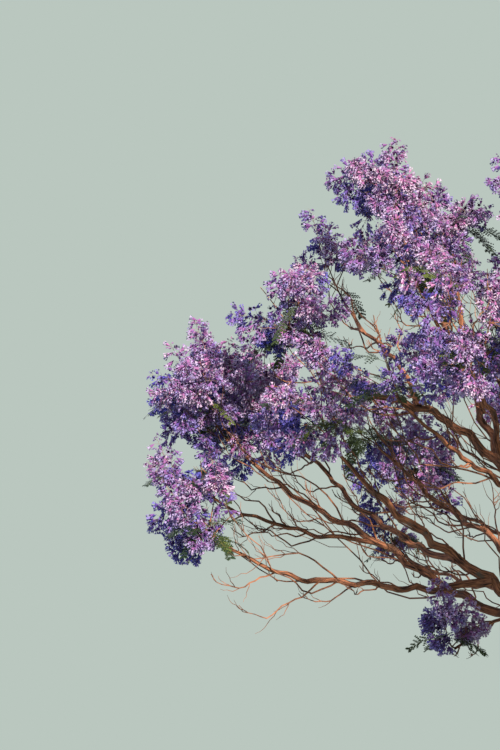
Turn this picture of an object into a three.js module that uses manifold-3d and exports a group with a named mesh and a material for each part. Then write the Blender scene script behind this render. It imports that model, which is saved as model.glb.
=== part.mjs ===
// A jacaranda in full blossom: a leaning, flared trunk that forks low, six main limbs, the boughs
// that leave them, and one mass of twigs, blossom and leaves on every tip.
// Millimetres, +Z up. The origin is at ground level under the trunk, and bearings turn from +X
// towards +Y, so a bearing of 180 points along -X and one of 270 along -Y.

import * as THREE from "three";
import { mergeVertices } from "three/addons/utils/BufferGeometryUtils.js";
import Module from "manifold-3d";

const wasm = await Module();
wasm.setup();

const UP = new THREE.Vector3(0, 0, 1);
const GOLDEN_TURN = Math.PI * (3 - Math.sqrt(5));
const SEED = 1300;

// The gap between two pieces of wood that meet, and between masses of blossom
const SEAT_GAP = 0.3;
const MASS_GAP = 10;
const LEAF_TO_LIMB_GAP = 4;
// Corners that fusing leaves nearer to a face than this are smoothed away
const FUSE_TOLERANCE = 0.5;

// Trunk, from the flat cut at ground level to its fork
const TRUNK = {
  height: 2010,
  radius: 140,
  topRadius: 118,
  domeHeight: 130,
  domeEnd: 0.3,
  leanTowardsX: 45,
  leanTowardsY: -60,
  leanGrowth: 1.4,
  flare: 105,
  flareHeight: 210,
  rootRidges: 5,
  ridgeDepth: 0.2,
  ridgeHeight: 330,
  sides: 20,
  steps: 11,
};

// Limbs and boughs
const LIMB_TIP_RADIUS = 9;
const LIMB_TAPER = 0.85;
const WOBBLE = { share: 0.011, liftWaves: 1.7, swayWaves: 1.9, phaseStep: 2.4 };
const MAIN_LIMB_SIDES = 8;
const BOUGH_SIDES = 6;
const LIMB_STEPS = 8;

// Twigs, sprays of blossom panicles, and fronds
const STEM_RADIUS = 14;
const TWIG_RADIUS = 7;
// Twigs leave the stem from near its bend to its end, and fan from below level to steeply up
const STEM = { towardsCentre: 0.8, bendAt: 0.35, firstTwig: 0.1, twigSpan: 0.85 };
const FAN = { lowest: -0.5, sweep: 1.7, turnJitter: 0.25, climbJitter: 0.12, reach: 0.47 };
// Sizes of a spray and a frond as shares of their mass's size
const SPRAY = { length: 0.62, halfWidth: 0.19, halfThickness: 0.19, waist: 0.52 };
const FROND = { length: 0.85, halfWidth: 0.15, halfThickness: 0.012, waist: 0.45 };
const LEAF_ROOT_SUNK = 1.5;
const FITTING_SCALES = [1, 0.85, 0.7];
// How far apart two sprays stand, as a share of their half widths added together
const ELBOW_ROOM = 0.75;

// Each row is one limb and the mass on its tip. "leaves" names what it grows from and "at" is how
// far along that is. "radius" is its own at the base. The tip stands at a distance, bearing and
// height from the foot of the trunk. Arch lifts the middle, crook lifts the inner half and drops
// the outer, and swing bows it sideways, as shares of its length. Spread and rise are half the
// width and half the height of its mass, and twigs is how many leave the stem.
const COLUMNS = ["name", "leaves", "at", "radius", "reach", "bearing", "height",
  "arch", "crook", "swing", "spread", "rise", "twigs"];
const LIMB_ROWS = [
  ["west", "trunk", 0.86, 66, 2343, 203, 4130, 0.1, 0.055, 0.02, 480, 470, 5],
  ["high", "trunk", 0.9, 58, 1358, 160, 5620, -0.035, 0.015, -0.02, 500, 370, 5],
  ["front", "trunk", 0.82, 52, 2600, 266, 4180, 0.06, 0.03, 0.03, 740, 480, 6],
  ["back", "trunk", 0.84, 52, 2680, 93, 4480, 0.06, 0.03, -0.03, 740, 470, 6],
  ["east", "trunk", 0.88, 58, 2850, 352, 4330, 0.05, 0.04, 0.03, 760, 490, 6],
  ["top", "trunk", 0.93, 46, 190, 140, 5850, 0.01, 0.02, 0.015, 680, 430, 6],
  ["outer_west", "west", 0.33, 38, 2900, 177, 4290, -0.045, 0, -0.02, 560, 430, 5],
  ["inner_west", "west", 0.43, 27, 1840, 168, 4230, 0.05, 0.02, -0.02, 430, 330, 4],
  ["small_back", "west", 0.5, 17, 2164, 140, 3600, -0.03, 0.02, 0.04, 290, 240, 3],
  ["low_west", "west", 0.57, 27, 3090, 199, 3480, -0.08, 0.005, 0.03, 450, 320, 4],
  ["mid_west", "west", 0.65, 25, 2804, 158, 4380, -0.03, -0.03, 0.02, 580, 420, 5],
  ["far_west", "outer_west", 0.55, 17, 3010, 186, 3850, -0.05, 0.01, 0.03, 380, 250, 4],
  ["hanging", "outer_west", 0.16, 13, 1404, 199, 2800, 0.09, 0.03, 0.05, 340, 210, 3],
  ["near_west", "high", 0.46, 26, 2110, 216, 4400, 0.02, 0.03, -0.05, 430, 400, 4],
  ["crest", "high", 0.56, 36, 2406, 188, 4880, 0.06, 0.05, 0.02, 540, 420, 5],
  ["near_peak", "high", 0.63, 24, 1826, 212, 5150, 0.02, 0.03, -0.03, 520, 350, 5],
  ["peak", "high", 0.72, 23, 1697, 185, 5790, 0.03, 0.03, 0.02, 460, 370, 5],
  ["crest_back", "crest", 0.5, 20, 2160, 162, 5320, 0.02, 0.03, 0.03, 430, 370, 4],
  ["front_west", "front", 0.45, 29, 2358, 241, 4520, 0.04, 0.03, -0.03, 620, 420, 5],
  ["front_east", "front", 0.5, 27, 2700, 293, 4260, 0.03, 0.03, 0.03, 720, 460, 6],
  ["front_high", "front", 0.38, 31, 1650, 258, 5130, 0.03, 0.04, 0.03, 700, 450, 6],
  ["back_west", "back", 0.45, 24, 2631, 123, 4080, 0.02, 0.02, 0.03, 470, 320, 4],
  ["back_east", "back", 0.5, 27, 2720, 60, 4420, 0.03, 0.03, -0.03, 720, 460, 6],
  ["back_high", "back", 0.38, 31, 1880, 116, 5060, 0.03, 0.04, 0.02, 740, 460, 6],
  ["east_front", "east", 0.42, 29, 2780, 321, 4230, 0.03, 0.03, -0.03, 720, 460, 6],
  ["east_back", "east", 0.5, 28, 2820, 24, 4400, 0.03, 0.03, 0.03, 720, 460, 6],
  ["east_high", "east", 0.38, 31, 1850, 354, 5130, 0.03, 0.04, 0.03, 740, 450, 6],
  ["top_front", "top", 0.55, 24, 1180, 312, 5480, 0.03, 0.03, 0.03, 680, 440, 6],
  ["top_back", "top", 0.6, 24, 1230, 48, 5500, 0.03, 0.03, -0.03, 680, 440, 6],
];
// How far a mass's centre lies above and outside the tip that carries it
const CENTRE_LIFT = 0.62;
const CENTRE_OUT = 0.25;

const barkMaterial = new THREE.MeshStandardMaterial({ color: 0x6b4630, roughness: 0.92, metalness: 0 });
const blossomMaterial = new THREE.MeshStandardMaterial({ color: 0x9a7bd0, roughness: 0.7, metalness: 0 });

// A repeatable stream of numbers from 0 to 1
function seeded(seed) {
  let state = seed >>> 0;
  return () => {
    state = (state + 0x6d2b79f5) >>> 0;
    let mixed = Math.imul(state ^ (state >>> 15), 1 | state);
    mixed = (mixed + Math.imul(mixed ^ (mixed >>> 7), 61 | mixed)) ^ mixed;
    return ((mixed ^ (mixed >>> 14)) >>> 0) / 4294967296;
  };
}

function along(start, direction, distance) {
  return start.clone().addScaledVector(direction, distance);
}

function atBearing(distance, bearing, height) {
  const angle = THREE.MathUtils.degToRad(bearing);
  return new THREE.Vector3(distance * Math.cos(angle), distance * Math.sin(angle), height);
}

// Two directions square to an axis, so that side, axis and face are right-handed
function squareTo(axis, hint) {
  const side = hint.clone().addScaledVector(axis, -hint.dot(axis)).normalize();
  return { side, face: side.clone().cross(axis) };
}

// Moves every vertex of a three.js geometry, and joins the ones that then coincide
function reshaped(geometry, move) {
  geometry.deleteAttribute("normal");
  geometry.deleteAttribute("uv");
  const merged = mergeVertices(geometry);
  const position = merged.attributes.position;
  for (let i = 0; i < position.count; i += 1) {
    const moved = move(new THREE.Vector3().fromBufferAttribute(position, i));
    position.setXYZ(i, moved.x, moved.y, moved.z);
  }
  return merged;
}

function toSolid(geometry) {
  const mesh = new wasm.Mesh({
    numProp: 3,
    vertProperties: Float32Array.from(geometry.attributes.position.array),
    triVerts: Uint32Array.from(geometry.index.array),
  });
  mesh.merge();
  return new wasm.Manifold(mesh);
}

function toNode(name, solid, material) {
  const result = solid.getMesh();
  const geometry = new THREE.BufferGeometry();
  geometry.setAttribute("position", new THREE.BufferAttribute(result.vertProperties, 3));
  geometry.setIndex(new THREE.BufferAttribute(result.triVerts, 1));
  geometry.computeVertexNormals();
  const node = new THREE.Mesh(geometry, material);
  node.name = name;
  return node;
}

function largestPiece(solid) {
  const pieces = solid.decompose();
  return pieces.reduce((best, piece) => (piece.volume() > best.volume() ? piece : best));
}

// A closed tube round a centreline: ringAt gives its middle, its run and its radius at each share
function tube(ringAt, sides, steps, hint) {
  const straight = new THREE.CylinderGeometry(1, 1, 1, sides, steps);
  return reshaped(straight, (vertex) => {
    const ring = ringAt(vertex.y + 0.5, Math.atan2(vertex.z, vertex.x));
    const { side, face } = squareTo(ring.run, hint);
    return ring.middle
      .clone()
      .addScaledVector(side, vertex.x * ring.radius)
      .addScaledVector(face, vertex.z * ring.radius);
  });
}

// The trunk leans more as it rises
function trunkMiddle(share) {
  const lean = share ** TRUNK.leanGrowth;
  return new THREE.Vector3(TRUNK.leanTowardsX * lean, TRUNK.leanTowardsY * lean, TRUNK.height * share);
}

function trunkRadius(share, angle) {
  const height = TRUNK.height * share;
  const taper = THREE.MathUtils.lerp(TRUNK.radius, TRUNK.topRadius, share);
  const flare = TRUNK.flare * Math.exp(-height / TRUNK.flareHeight);
  const ridge = TRUNK.ridgeDepth * Math.exp(-height / TRUNK.ridgeHeight);
  const ridged = 1 + ridge * Math.cos(TRUNK.rootRidges * angle);
  const intoDome = Math.max(0, (height - TRUNK.height + TRUNK.domeHeight) / TRUNK.domeHeight);
  const dome = Math.sqrt(1 - (1 - TRUNK.domeEnd ** 2) * intoDome ** 2);
  return (taper + flare) * ridged * dome;
}

// Rings lie closer together at the flare and at the dome than along the bole. Extra grows the
// trunk on all sides, and lifts it so that it grows at the top too.
function trunkSolid(extra) {
  const ringAt = (step, angle) => {
    const share = step - 0.1 * Math.sin(2 * Math.PI * step);
    const middle = along(trunkMiddle(share), UP, extra);
    return { middle, run: UP, radius: trunkRadius(share, angle) + extra };
  };
  return toSolid(tube(ringAt, TRUNK.sides, TRUNK.steps, new THREE.Vector3(1, 0, 0)));
}

// A limb's centreline: a straight chord from its parent to its tip, bent by arch, crook and swing
function limbMiddle(limb, share) {
  const turn = 2 * Math.PI * share;
  const bow = 4 * share * (1 - share);
  const wobble = WOBBLE.share * Math.sin(Math.PI * share);
  const lift = limb.arch * bow + limb.crook * Math.sin(turn)
    + wobble * Math.sin(WOBBLE.liftWaves * turn + limb.phase);
  const sway = limb.swing * bow + wobble * Math.sin(WOBBLE.swayWaves * turn + 2 * limb.phase);
  return limb.start
    .clone()
    .lerp(limb.tip, share)
    .addScaledVector(limb.lifted, lift * limb.length)
    .addScaledVector(limb.sideways, sway * limb.length);
}

function limbRun(limb, share) {
  const step = 0.01;
  const before = limbMiddle(limb, Math.max(0, share - step));
  return limbMiddle(limb, Math.min(1, share + step)).sub(before).normalize();
}

function limbRadius(limb, share) {
  return LIMB_TIP_RADIUS + (limb.radius - LIMB_TIP_RADIUS) * (1 - share) ** LIMB_TAPER;
}

function limbSolid(limb, extra) {
  const sides = limb.leaves === "trunk" ? MAIN_LIMB_SIDES : BOUGH_SIDES;
  const ringAt = (share) => ({
    middle: limbMiddle(limb, share),
    run: limbRun(limb, share),
    radius: limbRadius(limb, share) + extra,
  });
  return toSolid(tube(ringAt, sides, LIMB_STEPS, limb.sideways));
}

// Works out a row's limb and the place and size of the mass it carries
function layOut(row, index, limbs) {
  const limb = Object.fromEntries(COLUMNS.map((column, i) => [column, row[i]]));
  const parent = limbs.find((other) => other.name === limb.leaves);
  limb.start = parent ? limbMiddle(parent, limb.at) : trunkMiddle(limb.at);
  limb.tip = atBearing(limb.reach, limb.bearing, limb.height);
  const chord = limb.tip.clone().sub(limb.start);
  limb.length = chord.length();
  limb.sideways = chord.clone().cross(UP).normalize();
  limb.lifted = limb.sideways.clone().cross(chord).normalize();
  limb.phase = WOBBLE.phaseStep * index;
  limb.tipRun = limbRun(limb, 1);
  limb.centre = atBearing(limb.reach + CENTRE_OUT * limb.spread, limb.bearing,
    limb.height + CENTRE_LIFT * limb.rise);
  return limb;
}

// Shortest distance between the segments a0-a1 and b0-b1
function segmentGap(a0, a1, b0, b1) {
  const a = a1.clone().sub(a0);
  const b = b1.clone().sub(b0);
  const between = a0.clone().sub(b0);
  const aa = a.dot(a);
  const bb = b.dot(b);
  const ab = a.dot(b);
  const square = aa * bb - ab * ab;
  const clamp = THREE.MathUtils.clamp;
  let onA = square > 1e-6 ? clamp((ab * b.dot(between) - bb * a.dot(between)) / square, 0, 1) : 0;
  const onB = clamp((ab * onA + b.dot(between)) / bb, 0, 1);
  onA = clamp((ab * onB - a.dot(between)) / aa, 0, 1);
  return along(a0, a, onA).distanceTo(along(b0, b, onB));
}

// A mass's own space: an ellipsoid, less what lies nearer to another mass by their sizes
function inSpace(point, limb, limbs) {
  const offset = point.clone().sub(limb.centre);
  const across = Math.hypot(offset.x, offset.y) / limb.spread;
  if (Math.hypot(across, offset.z / limb.rise) > 1) {
    return false;
  }
  return limbs.every((other) => {
    if (other === limb) {
      return true;
    }
    const apart = other.centre.clone().sub(limb.centre);
    const distance = apart.length();
    const share = limb.spread / (limb.spread + other.spread);
    return offset.dot(apart) / distance < distance * share - MASS_GAP / 2;
  });
}

// True where a piece of a mass, from its root to its end, keeps clear of every limb
function clearOfLimbs(from, to, halfWidth, limb, limbs) {
  const inner = from.clone().lerp(to, 0.2);
  const outer = from.clone().lerp(to, 0.9);
  return limbs.every((other) => {
    for (let step = 0; step < LIMB_STEPS; step += 1) {
      const share = step / LIMB_STEPS;
      const isOwnTip = other === limb && step === LIMB_STEPS - 1;
      const needed = halfWidth + limbRadius(other, share) + LEAF_TO_LIMB_GAP;
      const gap = segmentGap(inner, outer, limbMiddle(other, share),
        limbMiddle(other, share + 1 / LIMB_STEPS));
      if (gap < (isOwnTip ? 0.5 * needed : needed)) {
        return false;
      }
    }
    return true;
  });
}

// The corners that a spray or frond reaches: its end, and its waist on four sides
function cornersOf(piece) {
  const waist = piece.from.clone().lerp(piece.to, piece.waist);
  const axis = piece.to.clone().sub(piece.from).normalize();
  const { side, face } = squareTo(axis, piece.hint);
  return [
    piece.to,
    along(waist, side, piece.halfWidth),
    along(waist, side, -piece.halfWidth),
    along(waist, face, piece.halfThickness),
    along(waist, face, -piece.halfThickness),
  ];
}

// True where a spray or frond stands apart from the others of its mass
function clearOfOthers(piece, pieces) {
  const middleOf = (leaf) => [0.25, 0.85].map((share) => leaf.from.clone().lerp(leaf.to, share));
  return pieces.every((other) => {
    const room = ELBOW_ROOM * (piece.halfThickness + (other.halfThickness ?? 0));
    return !other.halfWidth || segmentGap(...middleOf(piece), ...middleOf(other)) > room;
  });
}

// Adds a spray or frond that fits its space at full size or somewhat smaller, or skips it
function addLeaf(root, run, kind, size, hint, pieces, limb, limbs) {
  for (const fit of FITTING_SCALES) {
    const scale = fit * Math.sqrt(limb.spread * limb.rise);
    const piece = {
      kind,
      from: along(root, run, -LEAF_ROOT_SUNK),
      to: along(root, run, size.length * scale),
      halfWidth: size.halfWidth * scale,
      halfThickness: size.halfThickness * scale,
      waist: size.waist,
      hint,
    };
    const inside = cornersOf(piece).every((corner) => inSpace(corner, limb, limbs));
    const clear = clearOfLimbs(piece.from, piece.to, piece.halfThickness, limb, limbs);
    if (inside && clear && clearOfOthers(piece, pieces)) {
      pieces.push(piece);
      return;
    }
  }
}

// The branching rule: a stem on from the bough's tip, twigs that fan out from it by the golden
// turn, a spray at each twig's end and two on its sides, and a frond under every third twig
function growMass(limb, index, limbs) {
  const draw = seeded(SEED + index);
  const jitter = (amount) => (draw() * 2 - 1) * amount;
  const root = along(limb.tip, limb.tipRun, SEAT_GAP);
  const stemEnd = root.clone().lerp(limb.centre, STEM.towardsCentre);
  const bend = along(root, limb.tipRun, STEM.bendAt * root.distanceTo(stemEnd));
  const pieces = [{ kind: "stem", from: root, bend, to: stemEnd, run: limb.tipRun }];
  const spin = draw() * 2 * Math.PI;
  const size = new THREE.Vector3(limb.spread, limb.spread, limb.rise);

  for (let k = 0; k < limb.twigs; k += 1) {
    const rank = (k + 0.5) / limb.twigs;
    const turn = spin + k * GOLDEN_TURN + jitter(FAN.turnJitter);
    const climb = FAN.lowest + FAN.sweep * rank + jitter(FAN.climbJitter);
    const outward = new THREE.Vector3(Math.cos(turn) * Math.cos(climb),
      Math.sin(turn) * Math.cos(climb), Math.sin(climb));
    const end = limb.centre.clone().add(outward.clone().multiply(size).multiplyScalar(FAN.reach));
    const from = bend.clone().lerp(stemEnd, STEM.firstTwig + STEM.twigSpan * rank);
    const twigRun = end.clone().sub(from).normalize();
    if (!inSpace(end, limb, limbs) || !clearOfLimbs(from, end, TWIG_RADIUS, limb, limbs)) {
      continue;
    }
    pieces.push({ kind: "twig", from, to: end });

    const across = twigRun.clone().cross(UP).normalize();
    const endRun = twigRun.clone().multiplyScalar(0.5).add(outward.clone().multiplyScalar(0.4))
      .addScaledVector(UP, 0.3 + jitter(0.25)).addScaledVector(across, jitter(0.3)).normalize();
    addLeaf(along(end, twigRun, -6), endRun, "spray", SPRAY, across, pieces, limb, limbs);

    for (const sign of [-1, 1]) {
      const place = from.clone().lerp(end, 0.62 + jitter(0.16));
      const sideRun = twigRun.clone().multiplyScalar(0.55).addScaledVector(across, sign * 0.8)
        .addScaledVector(UP, 0.25 + jitter(0.5)).normalize();
      addLeaf(place, sideRun, "spray", SPRAY, UP, pieces, limb, limbs);
    }
    if (k % 3 === 0) {
      const place = from.clone().lerp(end, 0.4 + jitter(0.1));
      const frondRun = twigRun.clone().addScaledVector(across, jitter(0.8))
        .addScaledVector(UP, -0.55).normalize();
      addLeaf(place, frondRun, "frond", FROND, frondRun.clone().cross(UP), pieces, limb, limbs);
    }
  }
  return pieces;
}

// The three-sided stem sets off along its bough and bends up into the mass
function stemSolid(piece) {
  const bent = piece.to.clone().sub(piece.bend).normalize();
  const rings = [
    { middle: piece.from, run: piece.run },
    { middle: piece.bend, run: piece.run.clone().add(bent).normalize() },
    { middle: piece.to, run: bent },
  ];
  const ringAt = (share) => ({ ...rings[Math.round(2 * share)], radius: STEM_RADIUS });
  const hint = piece.run.clone().cross(UP).normalize();
  return toSolid(tube(ringAt, 3, 2, hint));
}

// A three-sided twig
function twigSolid(piece) {
  const run = piece.to.clone().sub(piece.from).normalize();
  const hint = Math.abs(run.z) < 0.9 ? UP : new THREE.Vector3(1, 0, 0);
  const ringAt = (share) => ({
    middle: piece.from.clone().lerp(piece.to, share),
    run,
    radius: TWIG_RADIUS,
  });
  return toSolid(tube(ringAt, 3, 1, hint));
}

// An eight-faced spray or frond: pointed at both ends and widest at its waist
function leafSolid(piece) {
  const axis = piece.to.clone().sub(piece.from).normalize();
  const { side, face } = squareTo(axis, piece.hint);
  const waist = piece.from.clone().lerp(piece.to, piece.waist);
  const eightFaced = reshaped(new THREE.OctahedronGeometry(1, 0), (vertex) => {
    if (Math.abs(vertex.y) > 0.5) {
      return (vertex.y > 0 ? piece.to : piece.from).clone();
    }
    return waist
      .clone()
      .addScaledVector(side, vertex.x * piece.halfWidth)
      .addScaledVector(face, vertex.z * piece.halfThickness);
  });
  return toSolid(eightFaced);
}

function massSolid(pieces) {
  const makers = { stem: stemSolid, twig: twigSolid, spray: leafSolid, frond: leafSolid };
  const solids = pieces.map((piece) => makers[piece.kind](piece));
  return largestPiece(wasm.Manifold.union(solids)).simplify(FUSE_TOLERANCE);
}

// A limb is cut back from the wood that was laid out before it, so that its base seats on that
function woodSolid(limb, earlier) {
  return largestPiece(earlier.reduce((wood, other) => wood.subtract(other), limbSolid(limb, 0)));
}

const limbs = [];
LIMB_ROWS.forEach((row, index) => limbs.push(layOut(row, index, limbs)));

const tree = new THREE.Group();
tree.add(toNode("trunk", trunkSolid(0), barkMaterial));
const seats = [trunkSolid(SEAT_GAP)];
for (const limb of limbs) {
  const prefix = limb.leaves === "trunk" ? "limb" : "bough";
  tree.add(toNode(`${prefix}_${limb.name}`, woodSolid(limb, seats), barkMaterial));
  seats.push(limbSolid(limb, SEAT_GAP));
}
limbs.forEach((limb, index) => {
  tree.add(toNode(`mass_${limb.name}`, massSolid(growMass(limb, index, limbs)), blossomMaterial));
});

export default tree;
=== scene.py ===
"""A jacaranda in full blossom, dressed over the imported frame.

Bark with its relief takes the place of the trunk, limbs and boughs. On every bough's tip the part's
own branching rule is carried on to finer twigs, with panicles of blossom and tufts of fronds.
Lengths are millimetres until a mesh is made. +Z is up, and bearings turn from +X towards +Y.
"""

import math
from dataclasses import dataclass

import bpy
import numpy as np
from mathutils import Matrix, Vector
from numpy.linalg import norm


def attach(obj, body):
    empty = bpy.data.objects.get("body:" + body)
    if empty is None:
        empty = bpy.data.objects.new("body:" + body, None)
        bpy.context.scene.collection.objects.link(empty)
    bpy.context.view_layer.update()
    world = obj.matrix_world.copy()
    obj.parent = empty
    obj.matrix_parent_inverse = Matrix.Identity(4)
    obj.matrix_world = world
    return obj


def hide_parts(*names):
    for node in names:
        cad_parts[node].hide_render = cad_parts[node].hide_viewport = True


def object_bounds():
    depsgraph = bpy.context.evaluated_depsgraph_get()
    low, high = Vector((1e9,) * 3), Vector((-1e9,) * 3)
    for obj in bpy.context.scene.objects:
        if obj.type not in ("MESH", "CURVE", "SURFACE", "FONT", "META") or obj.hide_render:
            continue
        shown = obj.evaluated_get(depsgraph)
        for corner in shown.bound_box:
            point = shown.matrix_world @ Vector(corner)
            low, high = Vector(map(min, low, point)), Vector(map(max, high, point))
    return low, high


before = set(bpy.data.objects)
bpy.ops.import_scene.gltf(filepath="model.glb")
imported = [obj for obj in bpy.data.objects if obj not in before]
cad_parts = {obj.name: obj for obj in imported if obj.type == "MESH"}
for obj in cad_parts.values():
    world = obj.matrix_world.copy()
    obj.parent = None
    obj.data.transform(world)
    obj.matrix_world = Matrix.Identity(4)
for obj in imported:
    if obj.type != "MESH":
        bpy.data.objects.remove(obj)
cad_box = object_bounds()

# One millimetre in metres
MM = 0.001
CAD_LOW, CAD_HIGH = np.array(cad_box) / MM
UP = np.array([0.0, 0.0, 1.0])
GOLDEN_TURN = math.pi * (3 - math.sqrt(5))
WORD = 0xFFFFFFFF
# Seed of the tree, and what goes with it for the panicles' tones of painted sunlight and shade and for
# each group's panicles and fronds
SEED = 1300
TONE_SEED = 100
GROUP_SEED = 200

# Gaps that the part keeps
SEAT_GAP = 0.3
MASS_GAP = 10
LEAF_TO_LIMB_GAP = 4
# Squared area between two segments, below which they count as parallel
PARALLEL = 1e-6

# Trunk, from the flat cut at ground level to its fork
TRUNK_HEIGHT = 2010
TRUNK_RADIUS = 140
TRUNK_TOP_RADIUS = 118
DOME_HEIGHT = 130
DOME_END = 0.3
TRUNK_LEAN = np.array([45.0, -60.0, 0.0])
LEAN_GROWTH = 1.4
FLARE = 105
FLARE_HEIGHT = 210
ROOT_RIDGES = 5
RIDGE_DEPTH = 0.2
RIDGE_HEIGHT = 330

# Limbs and boughs
LIMB_TIP_RADIUS = 9
LIMB_TAPER = 0.85
WOBBLE_SHARE = 0.011
LIFT_WAVES = 1.7
SWAY_WAVES = 1.9
PHASE_STEP = 2.4
LIMB_STEPS = 8
RUN_STEP = 0.01
# How far a mass's centre lies above and outside the tip that carries it, in its own sizes
CENTRE_LIFT = 0.62
CENTRE_OUT = 0.25

# The part's twigs, sprays and fronds, with a leaf's sizes as shares of its mass's size
TWIG_RADIUS = 7
STEM_TOWARDS_CENTRE = 0.8
STEM_BEND_AT = 0.35
FIRST_TWIG = 0.1
TWIG_SPAN = 0.85
FAN_LOWEST = -0.5
FAN_SWEEP = 1.7
FAN_REACH = 0.47
TURN_JITTER = 0.25
CLIMB_JITTER = 0.12
SPRAY = {"length": 0.62, "half_width": 0.19, "half_thickness": 0.19, "waist": 0.52}
FROND = {"length": 0.85, "half_width": 0.15, "half_thickness": 0.012, "waist": 0.45}
FITTING_SCALES = [1, 0.85, 0.7]
ELBOW_ROOM = 0.75
# The stretch of a leaf that is held clear of limbs and of other leaves, and the room that it needs
# beside its own limb's tip, as a share of what it needs elsewhere
CLEAR_OF_LIMBS = (0.2, 0.9)
CLEAR_OF_LEAVES = (0.25, 0.85)
OWN_TIP_ROOM = 0.5
# Where sprays and fronds leave a twig and which way they point. A jitter is the most that a draw
# adds or takes.
END_SPRAY = {"sunk": 6, "onward": 0.5, "outward": 0.4, "up": 0.3, "up_jitter": 0.25, "side_jitter": 0.3}
SIDE_SPRAY = {"at": 0.62, "at_jitter": 0.16, "onward": 0.55, "aside": 0.8, "up": 0.25, "up_jitter": 0.5}
TWIG_FROND = {"every": 3, "at": 0.4, "at_jitter": 0.1, "side_jitter": 0.8, "down": 0.55, "longest": 370}

# The stem and twigs as they are drawn here: rooted in the bough, slimmer, and bowed
STEM_SUNK = 20
STEM_RADII = (LIMB_TIP_RADIUS * 0.95, 5)
FAN_TWIG_RADII = (5.5, 3)
FAN_TWIGS_FROM = 0.3
FAN_TWIG_BOW = 0.05

# Bark relief
TRUNK_RINGS = 130
TRUNK_SIDES = 60
MAIN_LIMB_GRID = (90, 24)
BOUGH_GRID = (54, 14)
# How far rings crowd towards both ends of the trunk and towards a limb's root
END_CROWDING = 0.1
ROOT_CROWDING = 1.25
RELIEF_SHARE = 0.045
TRUNK_FISSURES = 22
LIMB_FISSURES = 8
FISSURE_SHARE = 0.6
COLLAR_SHARE = 0.5
COLLAR_REACH = 1.6
# Waves of the fissures and of the lumps: their height, their length in girths, how often they go round
# the limb, and how they follow its phase
WANDER_WAVES = [(1.3, 1.9, 0, 1), (0.8, 0.8, 2, 2), (0.5, 0.31, -1, 5)]
LUMP_WAVES = [(0.6, 2.6, 2, 1), (0.4, -1.7, 3, 3)]
# Elbows of the limbs: how far they stand off the limb's line, as a share of its radius and at most,
# their spacing, the smaller elbows on them, and how fast they fade towards the limb's ends
ELBOW_SHARE = 0.8
ELBOW_MOST = 20
ELBOW_SPACING = (310, 430)
SMALL_ELBOW_SHARE = 0.4
SMALL_LIFTS = 2.3
SMALL_SWAYS = 2.1
ELBOW_FADE = 5

# Finer side twigs, which leave every stem by the golden turn and end in a panicle
SIDE_TWIGS = 10
TWIG_ORDERS = 3
SIDE_ROOTS = (0.3, 1)
SIDE_TURNS = (-0.5, 0.5)
SIDE_ONWARD = (0.2, 0.9)
SIDE_UP = (-0.15, 0.4)
SIDE_REACH = (0.42, 0.85)
SIDE_RADIUS = 3.6
SHORTEST_TWIG = 5
TWIG_BEND_AT = 0.5
TESTED_INSIDE_END = 20
PANICLE_SPACING = 158
PANICLE_LENGTH = (210, 300)
PANICLE_ROOM = 45
PANICLE_TWIG_RADIUS = 4
HOLLOW_CORE = 0.3
FULL_PANICLES = 0.85
THIN_FULLNESS = (0.2, 0.6)
# How far apart panicles stand in single masses, as a share of the usual, so that limbs and sky show
# as in the photograph
SPARSENESS = {"crest_back": 1.15, "west": 1.1, "back_high": 1.4, "near_peak": 1.25, "front_west": 1.25,
              "near_west": 1.35, "inner_west": 1.3, "far_west": 1.25, "front_high": 1.2,
              "mid_west": 1.2, "crest": 1.1, "back_west": 0.95, "high": 0.95, "peak": 0.92}
WIDE_SPARSENESS = 1.19
# Sides on which a mass ends early: the way there, and how far out it reaches in its own sizes
OPEN_SIDES = {"crest": ((-0.6, 0, 0.8), 0.35), "crest_back": ((-0.7, 0, 0.7), 0.3),
              "low_west": ((0.9, 0, -0.4), 0.3), "peak": ((0.9, 0, 0.4), 0.4)}
NOT_OPEN = (UP, math.inf)
# Places where sky shows through the crown in the photograph: X, Z and half width at Y = 0, each
# open along the line of sight, and the room that panicles' own width takes beside them
OPENINGS = np.array([
    (-1870, 5060, 120), (-2030, 5030, 90), (-1870, 4850, 90), (-2700, 5600, 170),
    (-2760, 5400, 160), (-2560, 4845, 30), (-2350, 4660, 40), (-2110, 5860, 60),
    (-2090, 5340, 90), (-1190, 5190, 110), (-1340, 5110, 60), (-1060, 5030, 40),
    (-1200, 6140, 90), (-1390, 6200, 80), (-1547, 5130, 30), (-2440, 5790, 80),
    (-2530, 5650, 80), (-1050, 5710, 110), (-2060, 6360, 70), (-1870, 6510, 70),
    (-1570, 6270, 60), (-2030, 4340, 60), (-3150, 4180, 60), (-2870, 4190, 40),
    (-2780, 3870, 90), (-1500, 3770, 80), (-3320, 4830, 50),
])
OPENING_EDGE = 50
# The limbs that the photograph shows
SHOWN_GROUPS = ("west", "high")
# How far sprays reach in their mass's own sizes. Where the photograph doesn't show the crown they
# reach further, and most of all towards the trunk, until neighbouring masses meet.
SHOWN_REACH = 1.0
WIDE_REACH = 1.2
INWARD_REACH = 0.35
MASS_REACH = {"peak": 1.14, "mid_west": 1.2, "outer_west": 1.18, "near_peak": 1.05, "hanging": 0.95}
REACH_SWELL = 0.12
SWELL_WAVES = np.array([[4.1, -1.7, 2.3], [1.9, 4.6, -2.2], [-2.6, 2.1, 4.4]])
SWELL_PHASES = np.array([1, 2, 3])

# Loose budding panicles that stand out of the masses on long stalks
LOOSE_PANICLES = 5
LOOSE_REACH = (40, 190)
LOOSE_FULLNESS = (0.12, 0.6)
LOOSE_LENGTH_SHARE = 0.8
LOOSE_ONWARD = 0.4
LOOSE_OUTWARD = (0, 0.5)
LOOSE_SCATTER = 0.15
LOOSE_BEND = 12
LOOSE_RADIUS = 3

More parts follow.
